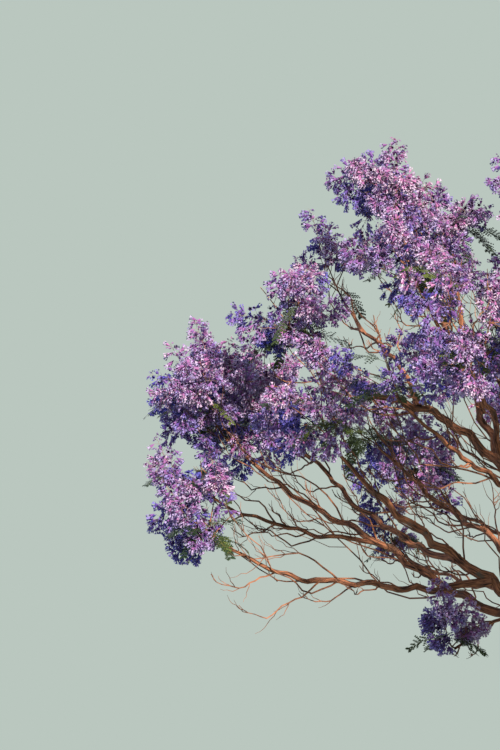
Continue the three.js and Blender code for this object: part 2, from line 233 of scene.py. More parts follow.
# Panicles: branchlets round a middle stalk, with flowers along each
BRANCHLETS = 16
FLOWER_PLACES = [0.45, 0.74, 1.0]
PANICLE_HALF_WIDTH = 0.4
PANICLE_END_WIDTH = 0.05
PANICLE_TAPER = 0.7
STALK_RADIUS = 2.2
STALK_TAPER = 0.75
# The stalks' number among the twigs' materials
BLOSSOM_STALK = 1
STALK_RINGS = 4
STALK_SWAY = (-0.12, 0.12)
STALK_CURL = (-0.1, 0.12)
BRANCHLET_RADIUS = 1.6
# Branchlets start a little up the stalk and widen over its first part
FIRST_BRANCHLET = 0.06
NARROW_FOOT = 0.65
WIDE_FROM = 0.3
# Which way branchlets and flowers point, and how far each may stray
BRANCHLET_ASIDE = 0.85
BRANCHLET_ONWARD = 0.5
BRANCHLET_SCATTER = 0.12
BRANCHLET_REACH = (0.8, 1.15)
FLOWER_ONWARD = 0.65
FLOWER_SCATTER = 0.28
FLOWER_DROOP = 0.55
FLOWER_SHIFT = (-0.12, 0)

# Flowers: a trumpet along +X and one long, with a lobe on each of its corners
FLOWER_LENGTH = 66
FLOWER_LENGTHS = (0.88, 1.12)
LATE_SHRINK = 0.22
FLOWER_SIDES = 5
THROAT_AT = 0.62
THROAT_RADIUS = 0.23
CLOSED_RIM = 0.08
RIM_OPENING = 0.28
LOBE_SPREAD = 0.5
OPENNESS = (0.7, 1)
BUDS_FROM = 0.88
OPEN_WHERE_THIN = 0.35
BUD_LENGTH = 0.5
BUD_OPENNESS = 0.05
# Steps from painted shade to painted sunlight in the petals' colour, and how far a flower strays from its
# panicle's step at random
TONES = 7
TONE_SCATTER = 0.7

# Tufts of fronds, and how far out along a stem they stand
TUFTS_PER_MASS = 3
TUFT_SPREAD = 560
TUFT_FRONDS = 6
TUFT_ROOTS = (0.5, 1)
TUFT_CLIMB = (-0.5, 0.55)
TUFT_TOP = -0.1
FROND_LENGTH = (220, 330)
FROND_ROOM = 10
FROND_ONWARD = 0.8
FROND_SAG = 0.2
# Masses with more or fewer tufts of fronds than the rest
LEAFINESS = {"inner_west": 3.2, "mid_west": 2, "outer_west": 1.6, "near_west": 1.5, "hanging": 0.6,
             "low_west": 1.3, "peak": 0.4, "near_peak": 0.6, "high": 0.6}

# Fronds: pairs of side stalks with leaflets on both edges
RIB_RADIUS = 1.8
RIB_THINNING = 1.3
RIB_DROOP = (0.25, 0.6)
RIB_TILT = (-0.6, 0.6)
SIDE_STALK_PAIRS = 12
SIDE_STALK_ENDS = (0.2, 0.98)
SIDE_STALK_ASIDE = 0.8
SIDE_STALK_ONWARD = 0.6
SIDE_STALK_SCATTER = 0.16
SIDE_STALK_SAG = 0.12
SIDE_STALK_REACH = (0.9, 1.1)
FROND_END_WIDTH = 0.05
FROND_HALF_WIDTH = 0.19
FROND_SWELL = (0.2, 0.7)
# Keeps the sign of a level blade from being zero
NOT_ZERO = 1e-9
VEIN_WIDTH = 4
LEAFLET_PAIRS = 4
LEAFLET_FROM = 0.7
LEAFLET_LENGTH = 17
LEAFLET_LENGTHS = (0.85, 1.1)
LEAFLET_TAPER = (1.15, 0.5)
LEAFLET_WIDTH = 15
LEAFLET_ONWARD = 0.55
LEAF_TONES = 4

# Long twigs that leave the limbs, some for the mass and some for the open
FEEDING_TWIGS = 3
FEEDING_ROOTS = (0.3, 0.8)
FEEDING_ENDS = (0.2, 1)
OPEN_TWIGS = 5
OPEN_TWIG_LENGTH = (500, 1150)
BARE_TWIGS = 10
BARE_TWIG_LENGTH = (300, 850)
LONG_TWIG_TURNS = (-0.4, 0.4)
LONG_TWIG_RADIUS = 8
LONG_TWIG_POINTS = 15
# Where open twigs leave the limb: the first place, the span of the rest, and where in its step
OPEN_TWIGS_FROM = 0.3
OPEN_TWIGS_SPAN = 0.66
OPEN_TWIG_STEPS = (0.1, 0.9)
# Open twigs get shorter outwards and on short limbs
LENGTH_AT_ROOT = 1.25
SHORTENING = 0.6
FULL_LENGTH_LIMB = 2200
# Which way open twigs go, how every long twig turns up at its end, and how far its curve keeps to
# its first and its last direction
OPEN_TWIG_WAY = {"onward": 0.9, "aside": 0.5, "up": 0.15}
EARLY_SHARE = 0.4
LATE_WAY = {"onward": 0.6, "up": 0.8}
LATE_SHARE = 0.35

# Forks of the long twigs, the elbows of both, and the bunch of panicles on an open twig's end.
# A fork's curve keeps to its first direction early on and to the long twig's later.
FORKS = 5
FORK_RADIUS = 3.6
FORK_POINTS = 7
FORK_LENGTH = (0.14, 0.36)
FORK_WAY = {"onward": 0.8, "aside": 0.8}
FORK_END = {"onward": 0.3, "up": 0.4}
FORK_EARLY = 0.4
FORK_LATE = 0.3
LONG_TWIG_END = 0.35
CROOK_SHARE = 0.05
CROOK_SWAYS = (1, 1.7)
CROOK_LIFTS = (2, 3)
CROOK_LIFT_SHARE = 0.6
CROOK_SCATTER = 0.13
CROOK_FADE = 4
BUNCH_PANICLES = 2
BUNCH_SPREAD = 0.7
BUNCH_UP = 0.5
BUNCH_FULLNESS = (0.5, 1)

STEM_POINTS = 6
TWIG_SIDES = 3
# How far outside the part's box a twig, frond or panicle may reach
BOX_MARGIN = 90

# How much light a panicle is reckoned to get, which sets how much sunlight or shade is painted into its
# petals' colour: at first, and what is added on the sunny side of its mass and of the crown, further out
# than its mass's middle shell, and by chance
EXPOSURE = {"base": 0.5, "in_mass": 0.28, "in_crown": 0.16, "outer": 0.3, "scatter": 0.15}
CROWN_RADIUS = 3000
MIDDLE_SHELL = 0.7

# Heights between which the limbs' brown bark gives way to the trunk's grey, in metres
YOUNG_BARK_FROM = 3.1
OLD_BARK_TO = 1.2
# The bark's cracks are stretched along the limb
GRAIN_STRETCH = (1, 1, 0.14)
SHININESS = 0.25
# Depth of twigs', petals' and leaves' bumps, in metres
FINE_BUMP = 0.001

# Light, and the camera at the photograph's height and angle. The photograph's frame is upright.
SUN_FROM = np.array([0.45, -0.78, 0.5])
FILL_FROM = np.array([-0.85, -0.35, 0.3])
BACK_FROM = np.array([-0.2, 0.9, 0.45])
CAMERA_PLACE = Vector((-2.73, -30.0, 1.6))
CAMERA_AIM = Vector((-2.73, 0.0, 4.73))
CAMERA_LENS = 207
EYE = np.array(CAMERA_PLACE) / MM
# Half the floor's width, in metres
FLOOR_HALF_WIDTH = 300

# Each row is one limb and the mass on its tip, with the same columns as the part's source: its name,
# what it leaves and how far along that, its radius there, where its tip stands (distance, bearing and
# height from the trunk's foot), its arch, crook and swing, the mass's spread and rise, and its twigs
LIMB_ROWS = [
    ("west", "trunk", 0.86, 66, 2343, 203, 4130, 0.1, 0.055, 0.02, 480, 470, 5),
    ("high", "trunk", 0.9, 58, 1358, 160, 5620, -0.035, 0.015, -0.02, 500, 370, 5),
    ("front", "trunk", 0.82, 52, 2600, 266, 4180, 0.06, 0.03, 0.03, 740, 480, 6),
    ("back", "trunk", 0.84, 52, 2680, 93, 4480, 0.06, 0.03, -0.03, 740, 470, 6),
    ("east", "trunk", 0.88, 58, 2850, 352, 4330, 0.05, 0.04, 0.03, 760, 490, 6),
    ("top", "trunk", 0.93, 46, 190, 140, 5850, 0.01, 0.02, 0.015, 680, 430, 6),
    ("outer_west", "west", 0.33, 38, 2900, 177, 4290, -0.045, 0, -0.02, 560, 430, 5),
    ("inner_west", "west", 0.43, 27, 1840, 168, 4230, 0.05, 0.02, -0.02, 430, 330, 4),
    ("small_back", "west", 0.5, 17, 2164, 140, 3600, -0.03, 0.02, 0.04, 290, 240, 3),
    ("low_west", "west", 0.57, 27, 3090, 199, 3480, -0.08, 0.005, 0.03, 450, 320, 4),
    ("mid_west", "west", 0.65, 25, 2804, 158, 4380, -0.03, -0.03, 0.02, 580, 420, 5),
    ("far_west", "outer_west", 0.55, 17, 3010, 186, 3850, -0.05, 0.01, 0.03, 380, 250, 4),
    ("hanging", "outer_west", 0.16, 13, 1404, 199, 2800, 0.09, 0.03, 0.05, 340, 210, 3),
    ("near_west", "high", 0.46, 26, 2110, 216, 4400, 0.02, 0.03, -0.05, 430, 400, 4),
    ("crest", "high", 0.56, 36, 2406, 188, 4880, 0.06, 0.05, 0.02, 540, 420, 5),
    ("near_peak", "high", 0.63, 24, 1826, 212, 5150, 0.02, 0.03, -0.03, 520, 350, 5),
    ("peak", "high", 0.72, 23, 1697, 185, 5790, 0.03, 0.03, 0.02, 460, 370, 5),
    ("crest_back", "crest", 0.5, 20, 2160, 162, 5320, 0.02, 0.03, 0.03, 430, 370, 4),
    ("front_west", "front", 0.45, 29, 2358, 241, 4520, 0.04, 0.03, -0.03, 620, 420, 5),
    ("front_east", "front", 0.5, 27, 2700, 293, 4260, 0.03, 0.03, 0.03, 720, 460, 6),
    ("front_high", "front", 0.38, 31, 1650, 258, 5130, 0.03, 0.04, 0.03, 700, 450, 6),
    ("back_west", "back", 0.45, 24, 2631, 123, 4080, 0.02, 0.02, 0.03, 470, 320, 4),
    ("back_east", "back", 0.5, 27, 2720, 60, 4420, 0.03, 0.03, -0.03, 720, 460, 6),
    ("back_high", "back", 0.38, 31, 1880, 116, 5060, 0.03, 0.04, 0.02, 740, 460, 6),
    ("east_front", "east", 0.42, 29, 2780, 321, 4230, 0.03, 0.03, -0.03, 720, 460, 6),
    ("east_back", "east", 0.5, 28, 2820, 24, 4400, 0.03, 0.03, 0.03, 720, 460, 6),
    ("east_high", "east", 0.38, 31, 1850, 354, 5130, 0.03, 0.04, 0.03, 740, 450, 6),
    ("top_front", "top", 0.55, 24, 1180, 312, 5480, 0.03, 0.03, 0.03, 680, 440, 6),
    ("top_back", "top", 0.6, 24, 1230, 48, 5500, 0.03, 0.03, -0.03, 680, 440, 6),
]


@dataclass
class Limb:
    """A limb or bough, and the mass on its tip"""
    name: str
    leaves: str
    at: float
    radius: float
    reach: float
    bearing: float
    height: float
    arch: float
    crook: float
    swing: float
    spread: float
    rise: float
    twigs: int


@dataclass
class Stem:
    """A curved twig: it sets off towards its bend and ends at its end, and tapers on the way"""
    start: np.ndarray
    bend: np.ndarray
    end: np.ndarray
    root_radius: float
    tip_radius: float

    def at(self, share):
        share = np.asarray(share, dtype=float)[..., None]
        early = between(self.start, self.bend, share)
        late = between(self.bend, self.end, share)
        return between(early, late, share)

    def run(self, share):
        return unit(between(self.bend - self.start, self.end - self.bend, share))


@dataclass
class Leafage:
    """A panicle or a frond: its root, the way it points, its length, how full it is, and its tone
    (painted sunlight and shade on a panicle, a green on a frond)
    """
    start: np.ndarray
    run: np.ndarray
    length: float
    fullness: float = 1.0
    tone: int = 0

    def middle(self):
        return self.start + self.run * self.length / 2


@dataclass
class Growth:
    """What grows on from one limb and its tip"""
    stems: list
    panicles: list
    fronds: list
    long_twigs: list
    forks: list


class Soup:
    """Triangles gathered from many small parts, each with the number of its material"""

    def __init__(self):
        self.points = []
        self.triangles = []
        self.materials = []
        self.grains = []
        self.count = 0

    def add(self, points, triangles, material=0, grain=None):
        points = points.reshape(-1, 3)
        triangles = triangles.reshape(-1, 3)
        self.points.append(points)
        self.triangles.append(triangles + self.count)
        self.materials.append(np.broadcast_to(material, len(triangles)))
        self.grains.append(points if grain is None else grain.reshape(-1, 3))
        self.count += len(points)


def between(first, last, share):
    return first + (last - first) * share


def unit(vectors):
    return vectors / norm(vectors, axis=-1, keepdims=True)


def at_bearing(distance, bearing, height):
    angle = math.radians(bearing)
    return np.array([distance * math.cos(angle), distance * math.sin(angle), height])


def square_to(runs, hints):
    """Two directions square to each run, the first of them nearest to the hint"""
    side = unit(hints - runs * np.sum(hints * runs, axis=-1, keepdims=True))
    return side, np.cross(side, runs)


def any_square_to(runs):
    hints = np.where(np.abs(runs[..., 2:]) < 0.9, UP, np.array([1.0, 0.0, 0.0]))
    return square_to(runs, hints)


def turned(side, face, turn):
    """The direction that lies a turn away from side, towards face"""
    return side * np.cos(turn) + face * np.sin(turn)


def turns_of(sides):
    return 2 * math.pi * np.arange(sides) / sides


def seeded(seed):
    """The source's repeatable stream of numbers from 0 to 1"""
    state = seed

    def draw():
        nonlocal state
        state = (state + 0x6D2B79F5) & WORD
        mixed = ((state ^ (state >> 15)) * (1 | state)) & WORD
        mixed = ((mixed + (mixed ^ (mixed >> 7)) * (61 | mixed)) & WORD) ^ mixed
        return (mixed ^ (mixed >> 14)) / 2 ** 32

    return draw


# The trunk's and the limbs' lines

def trunk_middle(share):
    share = np.asarray(share, dtype=float)[..., None]
    return TRUNK_LEAN * share ** LEAN_GROWTH + UP * TRUNK_HEIGHT * share


def trunk_radius(share, angle):
    height = TRUNK_HEIGHT * share
    taper = between(TRUNK_RADIUS, TRUNK_TOP_RADIUS, share)
    flare = FLARE * np.exp(-height / FLARE_HEIGHT)
    ridge = RIDGE_DEPTH * np.exp(-height / RIDGE_HEIGHT)
    ridged = 1 + ridge * np.cos(ROOT_RIDGES * angle)
    into_dome = np.maximum(0, (height - TRUNK_HEIGHT + DOME_HEIGHT) / DOME_HEIGHT)
    dome = np.sqrt(1 - (1 - DOME_END ** 2) * into_dome ** 2)
    return (taper + flare) * ridged * dome


def limb_middle(limb, share):
    share = np.asarray(share, dtype=float)[..., None]
    turn = 2 * math.pi * share
    bow = 4 * share * (1 - share)
    wobble = WOBBLE_SHARE * np.sin(math.pi * share)
    lift = limb.arch * bow + limb.crook * np.sin(turn)
    lift = lift + wobble * np.sin(LIFT_WAVES * turn + limb.phase)
    sway = limb.swing * bow + wobble * np.sin(SWAY_WAVES * turn + 2 * limb.phase)
    chord = between(limb.start, limb.tip, share)
    return chord + limb.lifted * lift * limb.length + limb.sideways * sway * limb.length


def limb_run(limb, share):
    before = limb_middle(limb, np.maximum(0, share - RUN_STEP))
    after = limb_middle(limb, np.minimum(1, share + RUN_STEP))
    return unit(after - before)


def limb_radius(limb, share):
    return between(LIMB_TIP_RADIUS, limb.radius, (1 - share) ** LIMB_TAPER)


def zigzag(turns):
    """A wave from -1 to 1 with straight sides"""
    return np.arcsin(np.sin(2 * math.pi * turns)) * 2 / math.pi


def crooked_middle(limb, share):
    """The limb's line with the elbows of old wood"""
    share = np.asarray(share, dtype=float)[..., None]
    distance = limb.length * share
    room = np.minimum(ELBOW_MOST, ELBOW_SHARE * limb_radius(limb, share))
    room = room * np.minimum(1, ELBOW_FADE * np.minimum(share, 1 - share))
    first, second = ELBOW_SPACING
    small_lift = SMALL_ELBOW_SHARE * zigzag(distance / second * SMALL_LIFTS + limb.phase)
    small_sway = SMALL_ELBOW_SHARE * zigzag(distance / first * SMALL_SWAYS)
    lift = zigzag(distance / first + limb.phase) + small_lift
    sway = zigzag(distance / second + 2 * limb.phase) + small_sway
    return limb_middle(limb, share[..., 0]) + room * (limb.lifted * lift + limb.sideways * sway)


def lay_out(row, index, parents):
    """Works out a row's limb, and the place, size and group of the mass it carries"""
    limb = Limb(*row)
    parent = parents.get(limb.leaves)
    limb.start = limb_middle(parent, limb.at) if parent else trunk_middle(limb.at)
    limb.parent_radius = limb_radius(parent, limb.at) if parent else TRUNK_TOP_RADIUS
    limb.group = parent.group if parent else limb.name
    limb.is_shown = limb.group in SHOWN_GROUPS
    limb.index = index
    limb.tip = at_bearing(limb.reach, limb.bearing, limb.height)
    chord = limb.tip - limb.start
    limb.length = norm(chord)
    limb.sideways = unit(np.cross(chord, UP))
    limb.lifted = unit(np.cross(limb.sideways, chord))
    limb.phase = PHASE_STEP * index
    limb.tip_run = limb_run(limb, 1)
    limb.centre = at_bearing(limb.reach + CENTRE_OUT * limb.spread, limb.bearing,
                             limb.height + CENTRE_LIFT * limb.rise)
    limb.size = np.array([limb.spread, limb.spread, limb.rise])
    limb.mean_size = math.sqrt(limb.spread * limb.rise)
    return limb


def lay_out_all():
    limbs = {}
    for index, row in enumerate(LIMB_ROWS):
        limbs[row[0]] = lay_out(row, index, limbs)
    return list(limbs.values())


LIMBS = lay_out_all()
STEP_SHARES = np.arange(LIMB_STEPS) / LIMB_STEPS
WOOD_STARTS = np.concatenate([limb_middle(limb, STEP_SHARES) for limb in LIMBS])
WOOD_ENDS = np.concatenate([limb_middle(limb, STEP_SHARES + 1 / LIMB_STEPS) for limb in LIMBS])
WOOD_RADII = np.concatenate([limb_radius(limb, STEP_SHARES) for limb in LIMBS])


# Room for twigs and leaves, tested as the part's source tests it

def segment_gaps(a0, a1, b0, b1):
    """Shortest distances between one segment and many"""
    a = a1 - a0
    b = b1 - b0
    between_starts = a0 - b0
    aa = np.sum(a * a)
    bb = np.sum(b * b, axis=-1)
    ab = b @ a
    a_between = between_starts @ a
    b_between = np.sum(b * between_starts, axis=-1)
    square = aa * bb - ab * ab
    on_a = np.clip((ab * b_between - bb * a_between) / np.maximum(square, PARALLEL), 0, 1)
    on_a = np.where(square > PARALLEL, on_a, 0)
    on_b = np.clip((ab * on_a + b_between) / bb, 0, 1)
    on_a = np.clip((ab * on_b - a_between) / aa, 0, 1)
    return norm(between_starts + on_a[:, None] * a - on_b[:, None] * b, axis=-1)


def in_space(points, limb, reach=1.0):
    """Which points lie in a mass's ellipsoid and not nearer to another mass by their sizes"""
    offset = points - limb.centre
    inside = norm(offset / limb.size, axis=-1) <= reach
    for other in LIMBS:
        if other is not limb:
            apart = other.centre - limb.centre
            distance = norm(apart)
            share = limb.spread / (limb.spread + other.spread)
            inside = inside & (offset @ apart / distance < distance * share - MASS_GAP / 2)
    return inside


def in_opening(*points):
    """Whether the camera sees any of the points through an opening"""
    points = np.array(points)
    nearness = EYE[1] / (EYE[1] - points[:, 1:2])
    seen = between(EYE[[0, 2]], points[:, [0, 2]], nearness)
    apart = norm(seen[:, None] - OPENINGS[:, :2], axis=-1)
    return bool(np.any(apart < OPENINGS[:, 2] + OPENING_EDGE))


def in_box(points):
    inside = (points > CAD_LOW - BOX_MARGIN) & (points < CAD_HIGH + BOX_MARGIN)
    return bool(np.all(inside))


def clear_of_limbs(start, end, half_width, limb):
    inner, outer = (between(start, end, share) for share in CLEAR_OF_LIMBS)
    needed = half_width + WOOD_RADII + LEAF_TO_LIMB_GAP
    needed[limb.index * LIMB_STEPS + LIMB_STEPS - 1] *= OWN_TIP_ROOM
    return bool(np.all(segment_gaps(inner, outer, WOOD_STARTS, WOOD_ENDS) >= needed))


def spray_reach(offset, limb):
    """How far out sprays reach on one side of a mass, in its own sizes"""
    way = offset / norm(offset)
    swell = REACH_SWELL * np.sin(way @ SWELL_WAVES + limb.phase * SWELL_PHASES).mean()
    if limb.is_shown:
        return MASS_REACH.get(limb.name, SHOWN_REACH) + swell
    inwards = max(0, -way @ at_bearing(1, limb.bearing, 0))
    return WIDE_REACH + INWARD_REACH * inwards + swell


def corners_of(start, end, size, scale, hint):
    """The corners that the part's spray or frond reaches: its end, and its waist on four sides"""
    waist = between(start, end, size["waist"])
    side, face = square_to(unit(end - start), hint)
    across = side * size["half_width"] * scale
    through = face * size["half_thickness"] * scale
    return np.array([end, waist + across, waist - across, waist + through, waist - through])


# The part's branching rule

def fit_leaf(root, run, size, hint, taken, limb):
    """The end of a spray or frond that fits at full size or somewhat smaller, or None"""
    for fit in FITTING_SCALES:
        scale = fit * limb.mean_size
        end = root + run * size["length"] * scale
        thickness = size["half_thickness"] * scale
        inner, outer = (between(root, end, share) for share in CLEAR_OF_LEAVES)
        if not np.all(in_space(corners_of(root, end, size, scale, hint), limb)):
            continue
        if not clear_of_limbs(root, end, thickness, limb):
            continue
        gaps = [
            segment_gaps(inner, outer, other[None], beyond[None])[0] - ELBOW_ROOM * (thickness + room)
            for other, beyond, room in taken
        ]
        if all(gap > 0 for gap in gaps):
            taken.append((inner, outer, thickness))
            return end
    return None


def carried(root, run, way, reach, panicle, radius):
    """The twig from a root up to a panicle's foot, where the panicle doesn't fill the whole reach"""
    gap = reach - panicle.length
    bend = root + unit(run + way) * gap * TWIG_BEND_AT
    return [Stem(root, bend, panicle.start, radius, STALK_RADIUS)] if gap > SHORTEST_TWIG else []


def add_panicle(root, run, end, fine, growth):
    """A panicle in the place of the part's spray, unless it would hide an opening"""
    reach = norm(end - root)
    length = min(reach, fine.uniform(*PANICLE_LENGTH))
    way = unit(end - root)
    panicle = Leafage(end - way * length, way, length)
    if not in_opening(panicle.start, end):
        growth.stems += carried(root, run, way, reach, panicle, PANICLE_TWIG_RADIUS)
        growth.panicles.append(panicle)


def grow_mass(limb, fine):
    """A stem on from the limb's tip, twigs that fan out from it by the golden turn, a spray at each
    twig's end and two on its sides, and a frond under every third twig, drawn in the part's order"""
    draw = seeded(SEED + limb.index)

    def jitter(amount):
        return (draw() * 2 - 1) * amount

    root = limb.tip + limb.tip_run * SEAT_GAP
    stem_end = between(root, limb.centre, STEM_TOWARDS_CENTRE)
    bend = root + limb.tip_run * STEM_BEND_AT * norm(stem_end - root)
    main = Stem(limb.tip - limb.tip_run * STEM_SUNK, bend, stem_end, *STEM_RADII)
    growth = Growth([main], [], [], [], [])
    taken = []
    spin = draw() * 2 * math.pi

    for k in range(limb.twigs):
        rank = (k + 0.5) / limb.twigs
        turn = spin + k * GOLDEN_TURN + jitter(TURN_JITTER)
        climb = FAN_LOWEST + FAN_SWEEP * rank + jitter(CLIMB_JITTER)
        level = math.cos(climb)
        outward = np.array([math.cos(turn) * level, math.sin(turn) * level, math.sin(climb)])
        end = limb.centre + outward * limb.size * FAN_REACH
        start = between(bend, stem_end, FIRST_TWIG + TWIG_SPAN * rank)
        onward = unit(end - start)
        if not in_space(end, limb) or not clear_of_limbs(start, end, TWIG_RADIUS, limb):
            continue
        foot = main.at(between(FAN_TWIGS_FROM, 1, rank))
        middle = (foot + end) / 2 + UP * FAN_TWIG_BOW * norm(end - foot)
        twig = Stem(foot, middle, end, *FAN_TWIG_RADII)
        growth.stems.append(twig)

        across = unit(np.cross(onward, UP))
        lift = UP * (END_SPRAY["up"] + jitter(END_SPRAY["up_jitter"]))
        run = onward * END_SPRAY["onward"] + outward * END_SPRAY["outward"] + lift
        run = unit(run + across * jitter(END_SPRAY["side_jitter"]))
        tip = fit_leaf(end - onward * END_SPRAY["sunk"], run, SPRAY, across, taken, limb)
        if tip is not None:
            add_panicle(end, onward, tip, fine, growth)

        for sign in (-1, 1):
            share = SIDE_SPRAY["at"] + jitter(SIDE_SPRAY["at_jitter"])
            lift = UP * (SIDE_SPRAY["up"] + jitter(SIDE_SPRAY["up_jitter"]))
            run = onward * SIDE_SPRAY["onward"] + across * sign * SIDE_SPRAY["aside"] + lift
            tip = fit_leaf(between(start, end, share), unit(run), SPRAY, UP, taken, limb)
            if tip is not None:
                add_panicle(twig.at(share), twig.run(share), tip, fine, growth)

        if k % TWIG_FROND["every"] == 0:
            share = TWIG_FROND["at"] + jitter(TWIG_FROND["at_jitter"])
            place = between(start, end, share)
            run = unit(onward + across * jitter(TWIG_FROND["side_jitter"]) - UP * TWIG_FROND["down"])
            tip = fit_leaf(place, run, FROND, np.cross(run, UP), taken, limb)
            if tip is not None:
                length = min(TWIG_FROND["longest"], norm(tip - place))
                growth.fronds.append(Leafage(twig.at(share), run, length))
    return growth


# The rule carried on to finer twigs

def side_twig(parent, step, order, limb, fine):
    """A side twig's root, its parent's run there, its own way, and its panicle's end"""
    share = fine.uniform(*SIDE_ROOTS)
    turn = step * GOLDEN_TURN + fine.uniform(*SIDE_TURNS) + order
    run = parent.run(share)
    side, face = any_square_to(run)
    way = run * fine.uniform(*SIDE_ONWARD) + turned(side, face, turn)
    way = unit(way + UP * fine.uniform(*SIDE_UP))
    root = parent.at(share)
    return root, run, way, root + way * limb.mean_size * fine.uniform(*SIDE_REACH)


def has_room(root, way, end, middle, middles, limb):
    """Whether a panicle stands in its mass's space, apart from the rest, and hides no opening"""
    offset = (middle - limb.centre) / limb.size
    open_way, open_from = OPEN_SIDES.get(limb.name, NOT_OPEN)
    if norm(offset) < HOLLOW_CORE or offset @ open_way > open_from:
        return False
    if in_opening(middle, end) or not in_box(end):
        return False
    tested = np.array([middle, end - way * TESTED_INSIDE_END])
    if not np.all(in_space(tested, limb, spray_reach(offset, limb))):
        return False
    sparseness = SPARSENESS.get(limb.name, 1 if limb.is_shown else WIDE_SPARSENESS)
    if np.min(norm(np.array(middles) - middle, axis=1)) < PANICLE_SPACING * sparseness:
        return False
    return clear_of_limbs(root, end, PANICLE_ROOM, limb)


def add_side_twigs(limb, growth, fine):
    """Side twigs leave every stem by the golden turn, each with a panicle on its end, where it has
    room. They carry the next order of side twigs in their turn."""
    middles = [panicle.middle() for panicle in growth.panicles]
    parents = list(growth.stems)
    for order in range(TWIG_ORDERS):
        children = []
        for step in range(SIDE_TWIGS):
            for parent in parents:
                root, run, way, end = side_twig(parent, step, order, limb, fine)
                reach = norm(end - root)
                length = min(reach, fine.uniform(*PANICLE_LENGTH))
                middle = end - way * length / 2
                if has_room(root, way, end, middle, middles, limb):
                    panicle = Leafage(end - way * length, way, length)
                    if fine.random() >= FULL_PANICLES:
                        panicle.fullness = fine.uniform(*THIN_FULLNESS)
                    children += carried(root, run, way, reach, panicle, SIDE_RADIUS)
                    middles.append(middle)
                    growth.panicles.append(panicle)
        growth.stems.extend(children)
        parents = children


def add_loose_panicles(limb, growth, fine):
    """Sparse panicles in bud on long stalks, which rise from the highest panicles' feet"""
    highest = sorted(growth.panicles, key=lambda panicle: -panicle.middle()[2])[:2 * LOOSE_PANICLES]
    outward = unit(limb.centre * np.array([1, 1, 0]))
    for panicle in highest[::2]:
        way = panicle.run * LOOSE_ONWARD + UP + outward * fine.uniform(*LOOSE_OUTWARD)
        way = unit(way + fine.normal(0, LOOSE_SCATTER, 3))
        reach = panicle.length + fine.uniform(*LOOSE_REACH)
        length = fine.uniform(*PANICLE_LENGTH) * LOOSE_LENGTH_SHARE
        end = panicle.start + way * reach
        foot = end - way * length
        if reach > length and in_box(end) and not in_opening(end):
            bend = (panicle.start + foot) / 2 + fine.normal(0, LOOSE_BEND, 3)
            growth.stems.append(Stem(panicle.start, bend, foot, LOOSE_RADIUS, STALK_RADIUS))
            growth.panicles.append(Leafage(foot, way, length, fine.uniform(*LOOSE_FULLNESS)))


def add_tufts(limb, growth, fine):
    """Tufts of fronds that spread and droop from the sides of stems in the mass's lower half"""
    tufts = round(TUFTS_PER_MASS * LEAFINESS.get(limb.name, 1) * limb.spread / TUFT_SPREAD)
    for _ in range(tufts):
        stem = growth.stems[fine.integers(len(growth.stems))]
        root = stem.at(fine.uniform(*TUFT_ROOTS))
        spin = fine.uniform(0, 2 * math.pi)
        tone = int(fine.integers(LEAF_TONES))
        for k in range(TUFT_FRONDS):
            turn = spin + k * GOLDEN_TURN
            way = unit(np.array([math.cos(turn), math.sin(turn), fine.uniform(*TUFT_CLIMB)]))
            length = fine.uniform(*FROND_LENGTH)
            end = root + way * length * FROND_ONWARD - UP * length * FROND_SAG
            is_low = end[2] < limb.centre[2] + TUFT_TOP * limb.rise
            is_inside = in_box(end) and in_space(end, limb)
            if is_low and is_inside and clear_of_limbs(root, end, FROND_ROOM, limb):
                growth.fronds.append(Leafage(root, way, length, 1.0, tone))


def crooked(line, fine):
    """The same line with elbows between its ends"""
    shares = np.linspace(0, 1, len(line))[:, None]
    chord = line[-1] - line[0]
    reach = norm(chord)
    side, face = any_square_to(chord / reach)
    angle = fine.uniform(0, 2 * math.pi)
    sway = turned(side, face, angle)
    lift = side * math.sin(angle) - face * math.cos(angle)
    elbows = sway * zigzag(shares * fine.uniform(*CROOK_SWAYS) + angle)
    lifts = zigzag(shares * fine.uniform(*CROOK_LIFTS) + 2 * angle)
    elbows = elbows + lift * lifts * CROOK_LIFT_SHARE
    elbows = elbows + fine.normal(0, CROOK_SCATTER, line.shape)
    fade = np.minimum(1, CROOK_FADE * np.minimum(shares, 1 - shares))
    return line + elbows * fade * reach * CROOK_SHARE


def curve(start, early, late, end, points):
    share = np.linspace(0, 1, points)[:, None]
    rest = 1 - share
    middle = start * rest ** 3 + early * 3 * share * rest ** 2 + late * 3 * share ** 2 * rest
    return middle + end * share ** 3


def way_off(limb, turn, at):
    """Where a twig leaves a limb, the limb's run there, and the way straight off it"""
    off = turned(limb.sideways, limb.lifted, turn)
    return crooked_middle(limb, at), limb_run(limb, at), off


def open_end(limb, turn, at, reach):
    """Where a twig ends that leaves a limb for the open"""
    root, run, off = way_off(limb, turn, at)
    way = run * OPEN_TWIG_WAY["onward"] + off * OPEN_TWIG_WAY["aside"] + UP * OPEN_TWIG_WAY["up"]
    return root + reach * way


def long_twig(limb, turn, at, end):
    """A curve that leaves a limb at a slant and turns up to its end"""
    root, run, off = way_off(limb, turn, at)
    reach = norm(end - root)
    early = root + unit(run + off) * reach * EARLY_SHARE
    late = end - unit(run * LATE_WAY["onward"] + UP * LATE_WAY["up"]) * reach * LATE_SHARE
    return curve(root, early, late, end, LONG_TWIG_POINTS)


def forks_of(line, fine):
    """Short twigs that leave the outer two thirds of a long one at a slant and turn up"""
    forks = []
    reach = norm(line[-1] - line[0])
    for _ in range(FORKS):
        first = int(fine.integers(LONG_TWIG_POINTS // 3, LONG_TWIG_POINTS - 2))
        root = line[first]
        run = unit(line[first + 1] - root)
        side, face = any_square_to(run)
        off = turned(side, face, fine.uniform(0, 2 * math.pi))
        way = unit(run * FORK_WAY["onward"] + off * FORK_WAY["aside"])
        length = reach * fine.uniform(*FORK_LENGTH)
        end = root + unit(way + run * FORK_END["onward"] + UP * FORK_END["up"]) * length
        early = root + way * length * FORK_EARLY
        late = early + run * length * FORK_LATE
        forks.append(crooked(curve(root, early, late, end, FORK_POINTS), fine))
    return forks


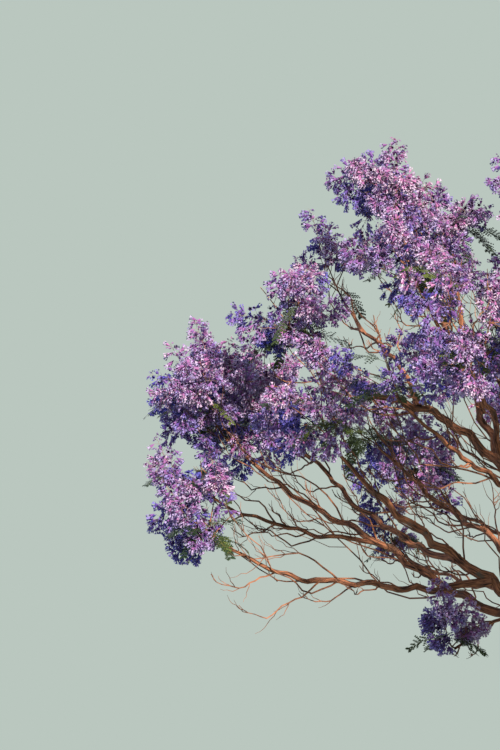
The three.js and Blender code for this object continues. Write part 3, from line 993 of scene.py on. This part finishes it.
def add_bunch(line, growth, fine):
    """A few panicles that fan out from a long twig's end"""
    foot = line[-1]
    run = unit(foot - line[-2])
    side, face = any_square_to(run)
    for k in range(BUNCH_PANICLES):
        way = unit(run + turned(side, face, k * GOLDEN_TURN) * BUNCH_SPREAD + UP * BUNCH_UP)
        length = fine.uniform(*PANICLE_LENGTH)
        if in_box(foot + way * length) and not in_opening(foot + way * length / 2):
            growth.panicles.append(Leafage(foot, way, length, fine.uniform(*BUNCH_FULLNESS)))


def add_long_twigs(limb, growth, fine):
    """Long twigs of two kinds leave a limb by the golden turn. Some run beside it and turn up into
    its mass. The others end in the open, bare or with a bunch of panicles. Both fork on the way."""
    open_twigs = BARE_TWIGS if limb.is_shown else OPEN_TWIGS
    lengths = BARE_TWIG_LENGTH if limb.is_shown else OPEN_TWIG_LENGTH
    for k in range(FEEDING_TWIGS + open_twigs):
        is_feeding = k < FEEDING_TWIGS
        turn = k * GOLDEN_TURN + fine.uniform(*LONG_TWIG_TURNS)
        if is_feeding:
            stem = growth.stems[fine.integers(len(growth.stems))]
            at = fine.uniform(*FEEDING_ROOTS)
            end = stem.at(fine.uniform(*FEEDING_ENDS))
        else:
            place = k - FEEDING_TWIGS + fine.uniform(*OPEN_TWIG_STEPS)
            at = OPEN_TWIGS_FROM + OPEN_TWIGS_SPAN * place / open_twigs
            reach = fine.uniform(*lengths) * (LENGTH_AT_ROOT - SHORTENING * at)
            end = open_end(limb, turn, at, reach * min(1, limb.length / FULL_LENGTH_LIMB))
            if limb.is_shown and end[2] > limb.tip[2]:
                continue
        line = crooked(long_twig(limb, turn, at, end), fine)
        if in_box(line):
            growth.long_twigs.append(line)
            growth.forks.extend(fork for fork in forks_of(line, fine) if in_box(fork))
            if not is_feeding and not limb.is_shown:
                add_bunch(line, growth, fine)


# Triangles

def grid_triangles(tubes, rings, sides):
    """Triangles of tubes whose points run ring by ring"""
    tube = np.arange(tubes)[:, None, None] * rings * sides
    ring = np.arange(rings - 1)[None, :, None] * sides
    corner = np.arange(sides)[None, None, :]
    beside = (corner + 1) % sides
    a = tube + ring + corner
    b = tube + ring + beside
    return np.stack([np.stack([a, b, b + sides], -1), np.stack([a, b + sides, a + sides], -1)], -2)


def add_tubes(soup, middles, radii, sides, material=0):
    """Many tubes at once: middles has a row of points for each, and radii one for each point"""
    runs = unit(np.gradient(middles, axis=1))
    chords = unit(middles[:, -1:] - middles[:, :1])
    hints, _ = any_square_to(chords)
    side, face = square_to(runs, hints)
    round_it = turned(side[:, :, None], face[:, :, None], turns_of(sides)[:, None])
    points = middles[:, :, None] + round_it * radii[:, :, None, None]
    soup.add(points, grid_triangles(middles.shape[0], middles.shape[1], sides), material)


def add_thorns(soup, starts, ends, radius, material):
    """Three-sided stalks that run out to a point"""
    side, face = any_square_to(unit(ends - starts))
    feet = starts[:, None] + turned(side[:, None], face[:, None], turns_of(3)[:, None]) * radius
    points = np.concatenate([feet, ends[:, None]], axis=1)
    triangles = np.array([[0, 1, 3], [1, 2, 3], [2, 0, 3]])
    soup.add(points, triangles + 4 * np.arange(len(points))[:, None, None], material)


def flower_shape(openness):
    """Trumpets of five sides, along +X and one long, with a lobe on each of their corners"""
    angles = turns_of(FLOWER_SIDES)
    edges = (angles[:, None] + np.array([-LOBE_SPREAD, LOBE_SPREAD])).ravel()
    rim = CLOSED_RIM + RIM_OPENING * openness[:, None]
    points = np.zeros((len(openness), 1 + 3 * FLOWER_SIDES, 3))
    throat = points[:, 1:1 + FLOWER_SIDES]
    throat[..., 0] = THROAT_AT
    throat[..., 1] = THROAT_RADIUS * np.cos(angles)
    throat[..., 2] = THROAT_RADIUS * np.sin(angles)
    lobes = points[:, 1 + FLOWER_SIDES:]
    lobes[..., 0] = 1
    lobes[..., 1] = rim * np.cos(edges)
    lobes[..., 2] = rim * np.sin(edges)
    return points


def add_flowers(soup, starts, axes, lengths, openness, tones, fine):
    side, face = any_square_to(axes)
    rolled = turned(side, face, fine.uniform(0, 2 * math.pi, (len(starts), 1)))
    frames = np.stack([axes, rolled, np.cross(axes, rolled)], axis=1)
    points = starts[:, None] + flower_shape(openness) @ frames * lengths[:, None, None]
    corner = np.arange(FLOWER_SIDES)
    ring = 1 + corner
    beside = 1 + (corner + 1) % FLOWER_SIDES
    trumpet = np.stack([np.zeros(FLOWER_SIDES, dtype=int), ring, beside], axis=-1)
    lobes = np.stack([ring, 1 + FLOWER_SIDES + 2 * corner, 2 + FLOWER_SIDES + 2 * corner], axis=-1)
    triangles = np.concatenate([trumpet, lobes])
    offsets = points.shape[1] * np.arange(len(points))[:, None, None]
    shades = 2 * tones[:, None] + np.repeat([0, 1], FLOWER_SIDES)
    soup.add(points, triangles + offsets, shades.reshape(-1))


def all_of(items, field):
    return np.array([getattr(item, field) for item in items])


def add_panicles(blossom, twigs, panicles, fine):
    """All panicles of a group: a stalk, branchlets round it by the golden turn, and flowers on them"""
    count = len(panicles)
    starts = all_of(panicles, "start")
    runs = all_of(panicles, "run")
    lengths = all_of(panicles, "length")[:, None]
    side, face = any_square_to(runs)
    sway = side * fine.uniform(*STALK_SWAY, (count, 1))
    curl = (sway + UP * fine.uniform(*STALK_CURL, (count, 1))) * lengths

    def on_stalk(share):
        straight = (starts + runs * lengths)[:, None] * share + starts[:, None] * (1 - share)
        return straight + curl[:, None] * share ** 2

    ring_shares = np.linspace(0, 1, STALK_RINGS)[:, None]
    radii = np.broadcast_to(STALK_RADIUS * (1 - STALK_TAPER * ring_shares[:, 0]), (count, STALK_RINGS))
    add_tubes(twigs, on_stalk(ring_shares), radii, TWIG_SIDES, BLOSSOM_STALK)

    rank = (np.arange(BRANCHLETS) + 0.5) / BRANCHLETS
    places = between(FIRST_BRANCHLET, 1, rank)
    turns = fine.uniform(0, 2 * math.pi, (count, 1)) + np.arange(BRANCHLETS) * GOLDEN_TURN
    radial = turned(side[:, None], face[:, None], turns[..., None])
    ways = radial * BRANCHLET_ASIDE + runs[:, None] * BRANCHLET_ONWARD
    ways = unit(ways + fine.normal(0, BRANCHLET_SCATTER, radial.shape))
    widening = between(NARROW_FOOT, 1, np.minimum(1, places / WIDE_FROM))
    half_width = PANICLE_HALF_WIDTH * (1 - places) ** PANICLE_TAPER * widening + PANICLE_END_WIDTH
    reaches = half_width * lengths * fine.uniform(*BRANCHLET_REACH, (count, BRANCHLETS))
    feet = on_stalk(places[:, None])
    ends = feet + ways * reaches[..., None]
    add_thorns(twigs, feet.reshape(-1, 3), ends.reshape(-1, 3), BRANCHLET_RADIUS, BLOSSOM_STALK)

    spots = np.array(FLOWER_PLACES) + fine.uniform(*FLOWER_SHIFT, (count, BRANCHLETS, len(FLOWER_PLACES)))
    flower_starts = between(feet[:, :, None], ends[:, :, None], spots[..., None])
    scatter = fine.normal(0, FLOWER_SCATTER, flower_starts.shape)
    axes = unit(ways[:, :, None] * FLOWER_ONWARD + scatter - UP * FLOWER_DROOP)
    late = np.broadcast_to(places[:, None], spots.shape)
    fullness = all_of(panicles, "fullness")[:, None, None]
    is_bud = (late > BUDS_FROM) | (fine.random(spots.shape) > between(OPEN_WHERE_THIN, 1, fullness))
    flower_lengths = FLOWER_LENGTH * (1 - LATE_SHRINK * late) * fine.uniform(*FLOWER_LENGTHS, spots.shape)
    flower_lengths = np.where(is_bud, flower_lengths * BUD_LENGTH, flower_lengths)
    openness = np.where(is_bud, BUD_OPENNESS, fine.uniform(*OPENNESS, spots.shape))
    kept = fine.random(spots.shape) < np.sqrt(fullness)
    # Each flower takes its panicle's step from painted shade to painted sunlight, give or take a little
    # at random
    tones = all_of(panicles, "tone")[:, None, None] + fine.normal(0, TONE_SCATTER, spots.shape)
    tones = np.clip(np.round(tones), 0, TONES - 1).astype(int)
    add_flowers(blossom, flower_starts[kept], axes[kept], flower_lengths[kept], openness[kept],
                tones[kept], fine)


def add_fronds(leaves, fronds, fine):
    """All fronds of a group: a drooping middle stalk, side stalks in pairs, and leaflets along each"""
    count = len(fronds)
    starts = all_of(fronds, "start")[:, None, None]
    runs = all_of(fronds, "run")[:, None, None]
    lengths = all_of(fronds, "length")[:, None, None, None]
    droop = fine.uniform(*RIB_DROOP, (count, 1, 1, 1))
    level = unit(np.cross(runs, UP) + UP * fine.uniform(*RIB_TILT, (count, 1, 1, 1)))

    def on_stalk(share):
        return starts + runs * lengths * share - UP * lengths * droop * share ** 2

    ring_shares = np.linspace(0, 1, STALK_RINGS)
    middles = on_stalk(ring_shares[None, None, :, None])[:, 0]
    radii = np.broadcast_to(RIB_RADIUS - RIB_THINNING * ring_shares, (count, STALK_RINGS))
    add_tubes(leaves, middles, radii, TWIG_SIDES, LEAF_TONES)

    places = np.linspace(*SIDE_STALK_ENDS, SIDE_STALK_PAIRS)[None, :, None, None]
    signs = np.array([-1, 1])[None, None, :, None]
    feet = on_stalk(places) + np.zeros((count, SIDE_STALK_PAIRS, 2, 3))
    onward = unit(runs - 2 * UP * droop * places)
    normal = unit(np.cross(level, onward))
    normal = normal * np.sign(normal[..., 2:] + NOT_ZERO)
    ways = level * signs * SIDE_STALK_ASIDE + onward * SIDE_STALK_ONWARD
    ways = unit(ways + fine.normal(0, SIDE_STALK_SCATTER, feet.shape) - UP * SIDE_STALK_SAG)
    swell_from, swell_span = FROND_SWELL
    swell = np.sin(math.pi * (swell_from + swell_span * places))
    shape = FROND_END_WIDTH + FROND_HALF_WIDTH * swell
    reaches = shape * lengths * fine.uniform(*SIDE_STALK_REACH, (count, SIDE_STALK_PAIRS, 2, 1))
    ends = feet + ways * reaches
    blade = unit(np.cross(ways, normal))
    veins = np.stack([feet - blade * VEIN_WIDTH / 2, feet + blade * VEIN_WIDTH / 2, ends], axis=-2)
    leaves.add(veins, np.arange(veins.size // 3).reshape(-1, 3), LEAF_TONES)

    feet, ends, blade, ways = (values[..., None, None, :] for values in (feet, ends, blade, ways))
    spots = ((np.arange(LEAFLET_PAIRS) + LEAFLET_FROM) / LEAFLET_PAIRS)[:, None, None]
    roots = between(feet, ends, spots)
    edges = np.array([-1, 1])[:, None]
    out = unit(blade * edges + ways * LEAFLET_ONWARD)
    at_root, shrink = LEAFLET_TAPER
    taper = LEAFLET_LENGTH * (at_root - shrink * spots)
    tips = roots + out * (taper * fine.uniform(*LEAFLET_LENGTHS, roots.shape[:-2] + (2, 1)))
    half = ways * LEAFLET_WIDTH / 2
    leaflets = np.stack(np.broadcast_arrays(roots - half, roots + half, tips), axis=-2)
    triangles = np.arange(leaflets.size // 3).reshape(-1, 3)
    leaves.add(leaflets, triangles, np.repeat(all_of(fronds, "tone"), len(triangles) // count))


# Bark

def waves(rows, distance, angle, girth, phase):
    """The sum of a table's waves along and round a limb"""
    return sum(share * np.sin(distance / (length * girth) + turns * angle + steps * phase)
               for share, length, turns, steps in rows)


def bark_relief(distance, angle, girth, fissures, phase):
    """How far the bark stands out or in, from -1 to 1: soft lumps, and fissures that wander"""
    wander = waves(WANDER_WAVES, distance, angle, girth, phase)
    ridges = np.sqrt(np.abs(np.sin(fissures / 2 * angle + wander)))
    lumps = waves(LUMP_WAVES, distance, angle, girth, phase)
    return FISSURE_SHARE * (2 * ridges - 1) + (1 - FISSURE_SHARE) * lumps


def add_bark(soup, middles, side, face, radii, distance, angle):
    round_it = turned(side[:, None], face[:, None], angle[..., None])
    points = middles[:, None] + round_it * radii[..., None]
    grain = np.stack([radii * np.cos(angle), radii * np.sin(angle), distance + 0 * angle], axis=-1)
    soup.add(points, grid_triangles(1, len(middles), angle.shape[-1]), 0, grain)


def trunk_bark(soup):
    step = np.linspace(0, 1, TRUNK_RINGS)
    share = step - END_CROWDING * np.sin(2 * math.pi * step)
    angle = turns_of(TRUNK_SIDES)[None]
    distance = TRUNK_HEIGHT * share[:, None]
    relief = bark_relief(distance, angle, TRUNK_RADIUS, TRUNK_FISSURES, 0)
    radii = trunk_radius(share[:, None], angle) * (1 + RELIEF_SHARE * relief)
    side, face = np.eye(3)[:2, None] + np.zeros((TRUNK_RINGS, 3))
    add_bark(soup, trunk_middle(share), side, face, radii, distance, angle)


def limb_bark(soup, limb):
    rings, sides = MAIN_LIMB_GRID if limb.leaves == "trunk" else BOUGH_GRID
    share = np.linspace(0, 1, rings) ** ROOT_CROWDING
    angle = turns_of(sides)[None]
    distance = limb.length * share[:, None]
    relief = bark_relief(distance, angle, limb.radius, LIMB_FISSURES, limb.phase)
    beyond = np.maximum(0, distance - limb.parent_radius)
    collar = 1 + COLLAR_SHARE * np.exp(-beyond / (COLLAR_REACH * limb.radius))
    radii = limb_radius(limb, share[:, None]) * collar * (1 + RELIEF_SHARE * relief)
    side, face = square_to(limb_run(limb, share), limb.sideways)
    add_bark(soup, crooked_middle(limb, share), side, face, radii, distance, angle)


# Materials

def linear(red, green, blue):
    """A colour as it is read off a screen, 0 to 255, as Blender's linear one"""
    def channel(value):
        value /= 255
        return value / 12.92 if value <= 0.04045 else ((value + 0.055) / 1.055) ** 2.4
    return channel(red), channel(green), channel(blue), 1


def blend(first, second, share):
    return tuple(between(a, b, share) for a, b in zip(first, second))


def set_inputs(tree, node, values):
    """Gives each named input its value, or links it where that is another node's output"""
    for name, value in values.items():
        if isinstance(value, bpy.types.NodeSocket):
            tree.links.new(value, node.inputs[name])
        else:
            node.inputs[name].default_value = value


def add_node(tree, kind, values):
    node = tree.nodes.new(kind)
    set_inputs(tree, node, values)
    return node


def new_material(name, colour, roughness):
    material = bpy.data.materials.new(name)
    material.use_nodes = True
    material.diffuse_color = colour
    tree = material.node_tree
    shader = tree.nodes["Principled BSDF"]
    set_inputs(tree, shader, {"Base Color": colour, "Roughness": roughness,
                              "Specular IOR Level": SHININESS})
    return material, tree, shader


def object_place(tree):
    return tree.nodes.new("ShaderNodeTexCoord").outputs["Object"]


def noise(tree, place, scale, detail):
    values = {"Vector": place, "Scale": scale, "Detail": detail}
    return add_node(tree, "ShaderNodeTexNoise", values).outputs["Fac"]


def ramp(tree, factor, stops):
    node = add_node(tree, "ShaderNodeValToRGB", {"Fac": factor})
    elements = node.color_ramp.elements
    while len(elements) < len(stops):
        elements.new(0.5)
    for element, (position, colour) in zip(elements, stops):
        element.position = position
        element.color = colour
    return node.outputs["Color"]


def mixed(tree, factor, first, second):
    mix = tree.nodes.new("ShaderNodeMix")
    mix.data_type = "RGBA"
    set_inputs(tree, mix, {"Factor": factor, "A": first, "B": second})
    return mix.outputs["Result"]


def bump(tree, shader, height, strength, distance):
    values = {"Height": height, "Strength": strength, "Distance": distance}
    node = add_node(tree, "ShaderNodeBump", values)
    set_inputs(tree, shader, {"Normal": node.outputs["Normal"]})


def roughen(tree, shader, scale, detail, strength):
    bump(tree, shader, noise(tree, object_place(tree), scale, detail), strength, FINE_BUMP)


def oldness(tree):
    """1 on the trunk, falling to 0 up along the limbs"""
    axes = add_node(tree, "ShaderNodeSeparateXYZ", {"Vector": object_place(tree)})
    values = {"Value": axes.outputs["Z"], "From Min": YOUNG_BARK_FROM, "From Max": OLD_BARK_TO}
    return add_node(tree, "ShaderNodeMapRange", values).outputs["Result"]


def bark_material():
    """Brown bark that greys towards the foot, with fine lengthwise cracks and a scatter of lichen"""
    material, tree, shader = new_material("bark", linear(92, 66, 48), roughness=0.85)
    attribute = tree.nodes.new("ShaderNodeAttribute")
    attribute.attribute_name = "grain"
    grain = attribute.outputs["Vector"]
    lengthwise = add_node(tree, "ShaderNodeMapping", {"Vector": grain, "Scale": GRAIN_STRETCH})
    cracks = noise(tree, lengthwise.outputs["Vector"], scale=90, detail=6)
    patches = noise(tree, grain, scale=9, detail=4)
    young = [(0.31, linear(20, 12, 8)), (0.47, linear(94, 59, 42)), (0.7, linear(150, 98, 68))]
    old = [(0.31, linear(24, 18, 15)), (0.5, linear(78, 62, 52)), (0.7, linear(116, 97, 83))]
    wood = mixed(tree, oldness(tree), ramp(tree, cracks, young), ramp(tree, cracks, old))
    lichen = ramp(tree, patches, [(0.56, (0, 0, 0, 1)), (0.7, (1, 1, 1, 1))])
    set_inputs(tree, shader, {"Base Color": mixed(tree, lichen, wood, linear(72, 63, 55))})
    bump(tree, shader, cracks, strength=0.6, distance=0.006)
    return material


def twig_material(name, young, old):
    material, tree, shader = new_material(name, young, roughness=0.8)
    patches = noise(tree, object_place(tree), scale=14, detail=3)
    set_inputs(tree, shader, {"Base Color": ramp(tree, patches, [(0.35, old), (0.65, young)])})
    roughen(tree, shader, scale=420, detail=3, strength=0.35)
    return material


def petal_materials():
    """Petals with sunlight and shade painted into their base colour. From painted shade to painted sun,
    each tone has a trumpet and a paler lobe, with a soft sheen
    """
    # Painted shade is a deep blue-violet, and painted sunlight a pale pink-lilac with a pinker trumpet
    shaded = {"trumpet": linear(46, 38, 116), "lobe": linear(64, 62, 142)}
    sunlit = {"trumpet": linear(136, 82, 128), "lobe": linear(156, 138, 162)}
    materials = []
    for tone in range(TONES):
        for part in ("trumpet", "lobe"):
            colour = blend(shaded[part], sunlit[part], tone / (TONES - 1))
            material, tree, shader = new_material(f"{part}_{tone}", colour, roughness=0.55)
            set_inputs(tree, shader, {"Sheen Weight": 0.15})
            roughen(tree, shader, scale=260, detail=2, strength=0.3)
            materials.append(material)
    return materials


def leaf_materials():
    """Tones of green dealt out by tuft, and the stalks' own"""
    dark = linear(24, 40, 22)
    yellow = linear(70, 82, 36)
    materials = []
    for tone in range(LEAF_TONES):
        colour = blend(dark, yellow, (tone / (LEAF_TONES - 1)) ** 2)
        material, tree, shader = new_material(f"leaf_{tone}", colour, roughness=0.5)
        roughen(tree, shader, scale=300, detail=2, strength=0.25)
        materials.append(material)
    materials.append(twig_material("leaf_stalk", linear(74, 82, 46), linear(56, 60, 36)))
    return materials


# Pieces

def put(name, data):
    thing = bpy.data.objects.new(name, data)
    bpy.context.scene.collection.objects.link(thing)
    return thing


def make_piece(name, soup, materials, nodes, smooth=False):
    mesh = bpy.data.meshes.new(name)
    points = np.concatenate(soup.points) * MM
    triangles = np.concatenate(soup.triangles)
    mesh.vertices.add(len(points))
    mesh.vertices.foreach_set("co", points.astype(np.float32).ravel())
    mesh.loops.add(triangles.size)
    mesh.loops.foreach_set("vertex_index", triangles.astype(np.int32).ravel())
    mesh.polygons.add(len(triangles))
    mesh.polygons.foreach_set("loop_start", np.arange(0, triangles.size, 3, dtype=np.int32))
    for material in materials:
        mesh.materials.append(material)
    mesh.polygons.foreach_set("material_index", np.concatenate(soup.materials).astype(np.int32))
    mesh.polygons.foreach_set("use_smooth", np.full(len(triangles), smooth))
    if smooth:
        grain = mesh.attributes.new("grain", "FLOAT_VECTOR", "POINT")
        vectors = np.concatenate(soup.grains) * MM
        grain.data.foreach_set("vector", vectors.astype(np.float32).ravel())
    mesh.update(calc_edges=True)
    piece = put(name, mesh)
    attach(piece, "root")
    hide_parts(*nodes)


def deal_painted_light(growths, fine):
    """Paints sunlight and shade into the panicles' colour: panicles towards the sun get pale pink tones,
    and those turned away from it or deep in their mass deep violet ones, give or take a little at random
    """
    sun = unit(SUN_FROM)
    crown = np.mean([limb.centre for limb in LIMBS], axis=0)
    for limb, growth in growths:
        for panicle in growth.panicles:
            middle = panicle.middle()
            in_mass = EXPOSURE["in_mass"] * np.dot(unit(middle - limb.centre), sun)
            in_crown = EXPOSURE["in_crown"] * (np.dot(middle - crown, sun) / CROWN_RADIUS)
            outer = norm((middle - limb.centre) / limb.size) - MIDDLE_SHELL
            exposure = EXPOSURE["base"] + in_mass + in_crown + EXPOSURE["outer"] * outer
            exposure = exposure + fine.normal(0, EXPOSURE["scatter"])
            panicle.tone = int(np.clip(exposure * TONES, 0, TONES - 1))


def grow_all():
    """What grows on from every limb, with the sunlight and shade painted into its panicles' tones"""
    growths = []
    for limb in LIMBS:
        fine = np.random.default_rng([SEED, limb.index])
        growth = grow_mass(limb, fine)
        for add in (add_side_twigs, add_loose_panicles, add_tufts, add_long_twigs):
            add(limb, growth, fine)
        growths.append((limb, growth))
    deal_painted_light(growths, np.random.default_rng([SEED, TONE_SEED]))
    return growths


def add_growth(twigs, growth):
    """A mass's twigs and stalks, and its limb's long twigs with their forks"""
    shares = np.linspace(0, 1, STEM_POINTS)
    middles = np.array([stem.at(shares) for stem in growth.stems])
    radii = np.array([between(stem.root_radius, stem.tip_radius, shares) for stem in growth.stems])
    add_tubes(twigs, middles, radii, TWIG_SIDES)
    for lines, radius in ((growth.long_twigs, LONG_TWIG_RADIUS), (growth.forks, FORK_RADIUS)):
        radii = np.tile(radius * np.linspace(1, LONG_TWIG_END, len(lines[0])), (len(lines), 1))
        add_tubes(twigs, np.array(lines), radii, TWIG_SIDES)


def make_group(group, members, looks, fine):
    """The pieces of a limb that leaves the trunk, with all that it carries"""
    soups = {part: Soup() for part in looks}
    for limb, growth in members:
        limb_bark(soups["bark"], limb)
        add_growth(soups["twigs"], growth)
    panicles = [panicle for _, growth in members for panicle in growth.panicles]
    fronds = [frond for _, growth in members for frond in growth.fronds]
    add_panicles(soups["blossom"], soups["twigs"], panicles, fine)
    add_fronds(soups["leaves"], fronds, fine)
    wood = [("limb_" if limb.leaves == "trunk" else "bough_") + limb.name for limb, _ in members]
    masses = [f"mass_{limb.name}" for limb, _ in members]
    make_piece(f"bark_{group}", soups["bark"], looks["bark"], wood, smooth=True)
    for part, slot in (("twigs", "bark"), ("blossom", "blossom"), ("leaves", "blossom")):
        make_piece(f"{part}_{group}", soups[part], looks[part], masses)


def make_tree():
    growths = grow_all()
    twigs = [twig_material("twig", linear(128, 84, 60), linear(56, 38, 29)),
             twig_material("blossom_stalk", linear(112, 84, 84), linear(84, 70, 60))]
    looks = {"bark": [bark_material()], "twigs": twigs, "blossom": petal_materials(),
             "leaves": leaf_materials()}
    trunk = Soup()
    trunk_bark(trunk)
    make_piece("bark_trunk", trunk, looks["bark"], ["trunk"], smooth=True)
    for number, group in enumerate(dict.fromkeys(limb.group for limb in LIMBS)):
        members = [(limb, growth) for limb, growth in growths if limb.group == group]
        make_group(group, members, looks, np.random.default_rng([SEED, GROUP_SEED + number]))


# Floor, light and camera

def make_floor():
    half = FLOOR_HALF_WIDTH
    corners = [(-half, -half, 0), (half, -half, 0), (half, half, 0), (-half, half, 0)]
    mesh = bpy.data.meshes.new("floor")
    mesh.from_pydata(corners, [], [(0, 1, 2, 3)])
    material, *_ = new_material("floor", linear(127, 139, 138), roughness=0.9)
    mesh.materials.append(material)
    floor = put("floor", mesh)


def make_sun(name, comes_from, energy, colour, spread):
    sun = put(name, bpy.data.lights.new(name, "SUN"))
    sun.rotation_euler = Vector(comes_from).to_track_quat("Z", "Y").to_euler()
    sun.data.energy = energy
    sun.data.color = colour
    sun.data.angle = math.radians(spread)


def make_light():
    make_sun("key", SUN_FROM, energy=11.5, colour=(1.0, 0.87, 0.74), spread=2)
    make_sun("fill", FILL_FROM, energy=1.8, colour=(0.38, 0.46, 1.0), spread=60)
    make_sun("back", BACK_FROM, energy=1.6, colour=(0.8, 0.8, 1.0), spread=60)
    world = bpy.data.worlds.new("world")
    world.use_nodes = True
    world.node_tree.nodes["Background"].inputs["Color"].default_value = linear(186, 199, 191)
    bpy.context.scene.world = world


def make_camera():
    camera = put("camera", bpy.data.cameras.new("camera"))
    camera.location = CAMERA_PLACE
    camera.rotation_euler = (CAMERA_AIM - CAMERA_PLACE).to_track_quat("-Z", "Y").to_euler()
    camera.data.lens = CAMERA_LENS
    bpy.context.scene.camera = camera


make_tree()
make_floor()
make_light()
make_camera()
bpy.context.scene.view_settings.view_transform = "Standard"
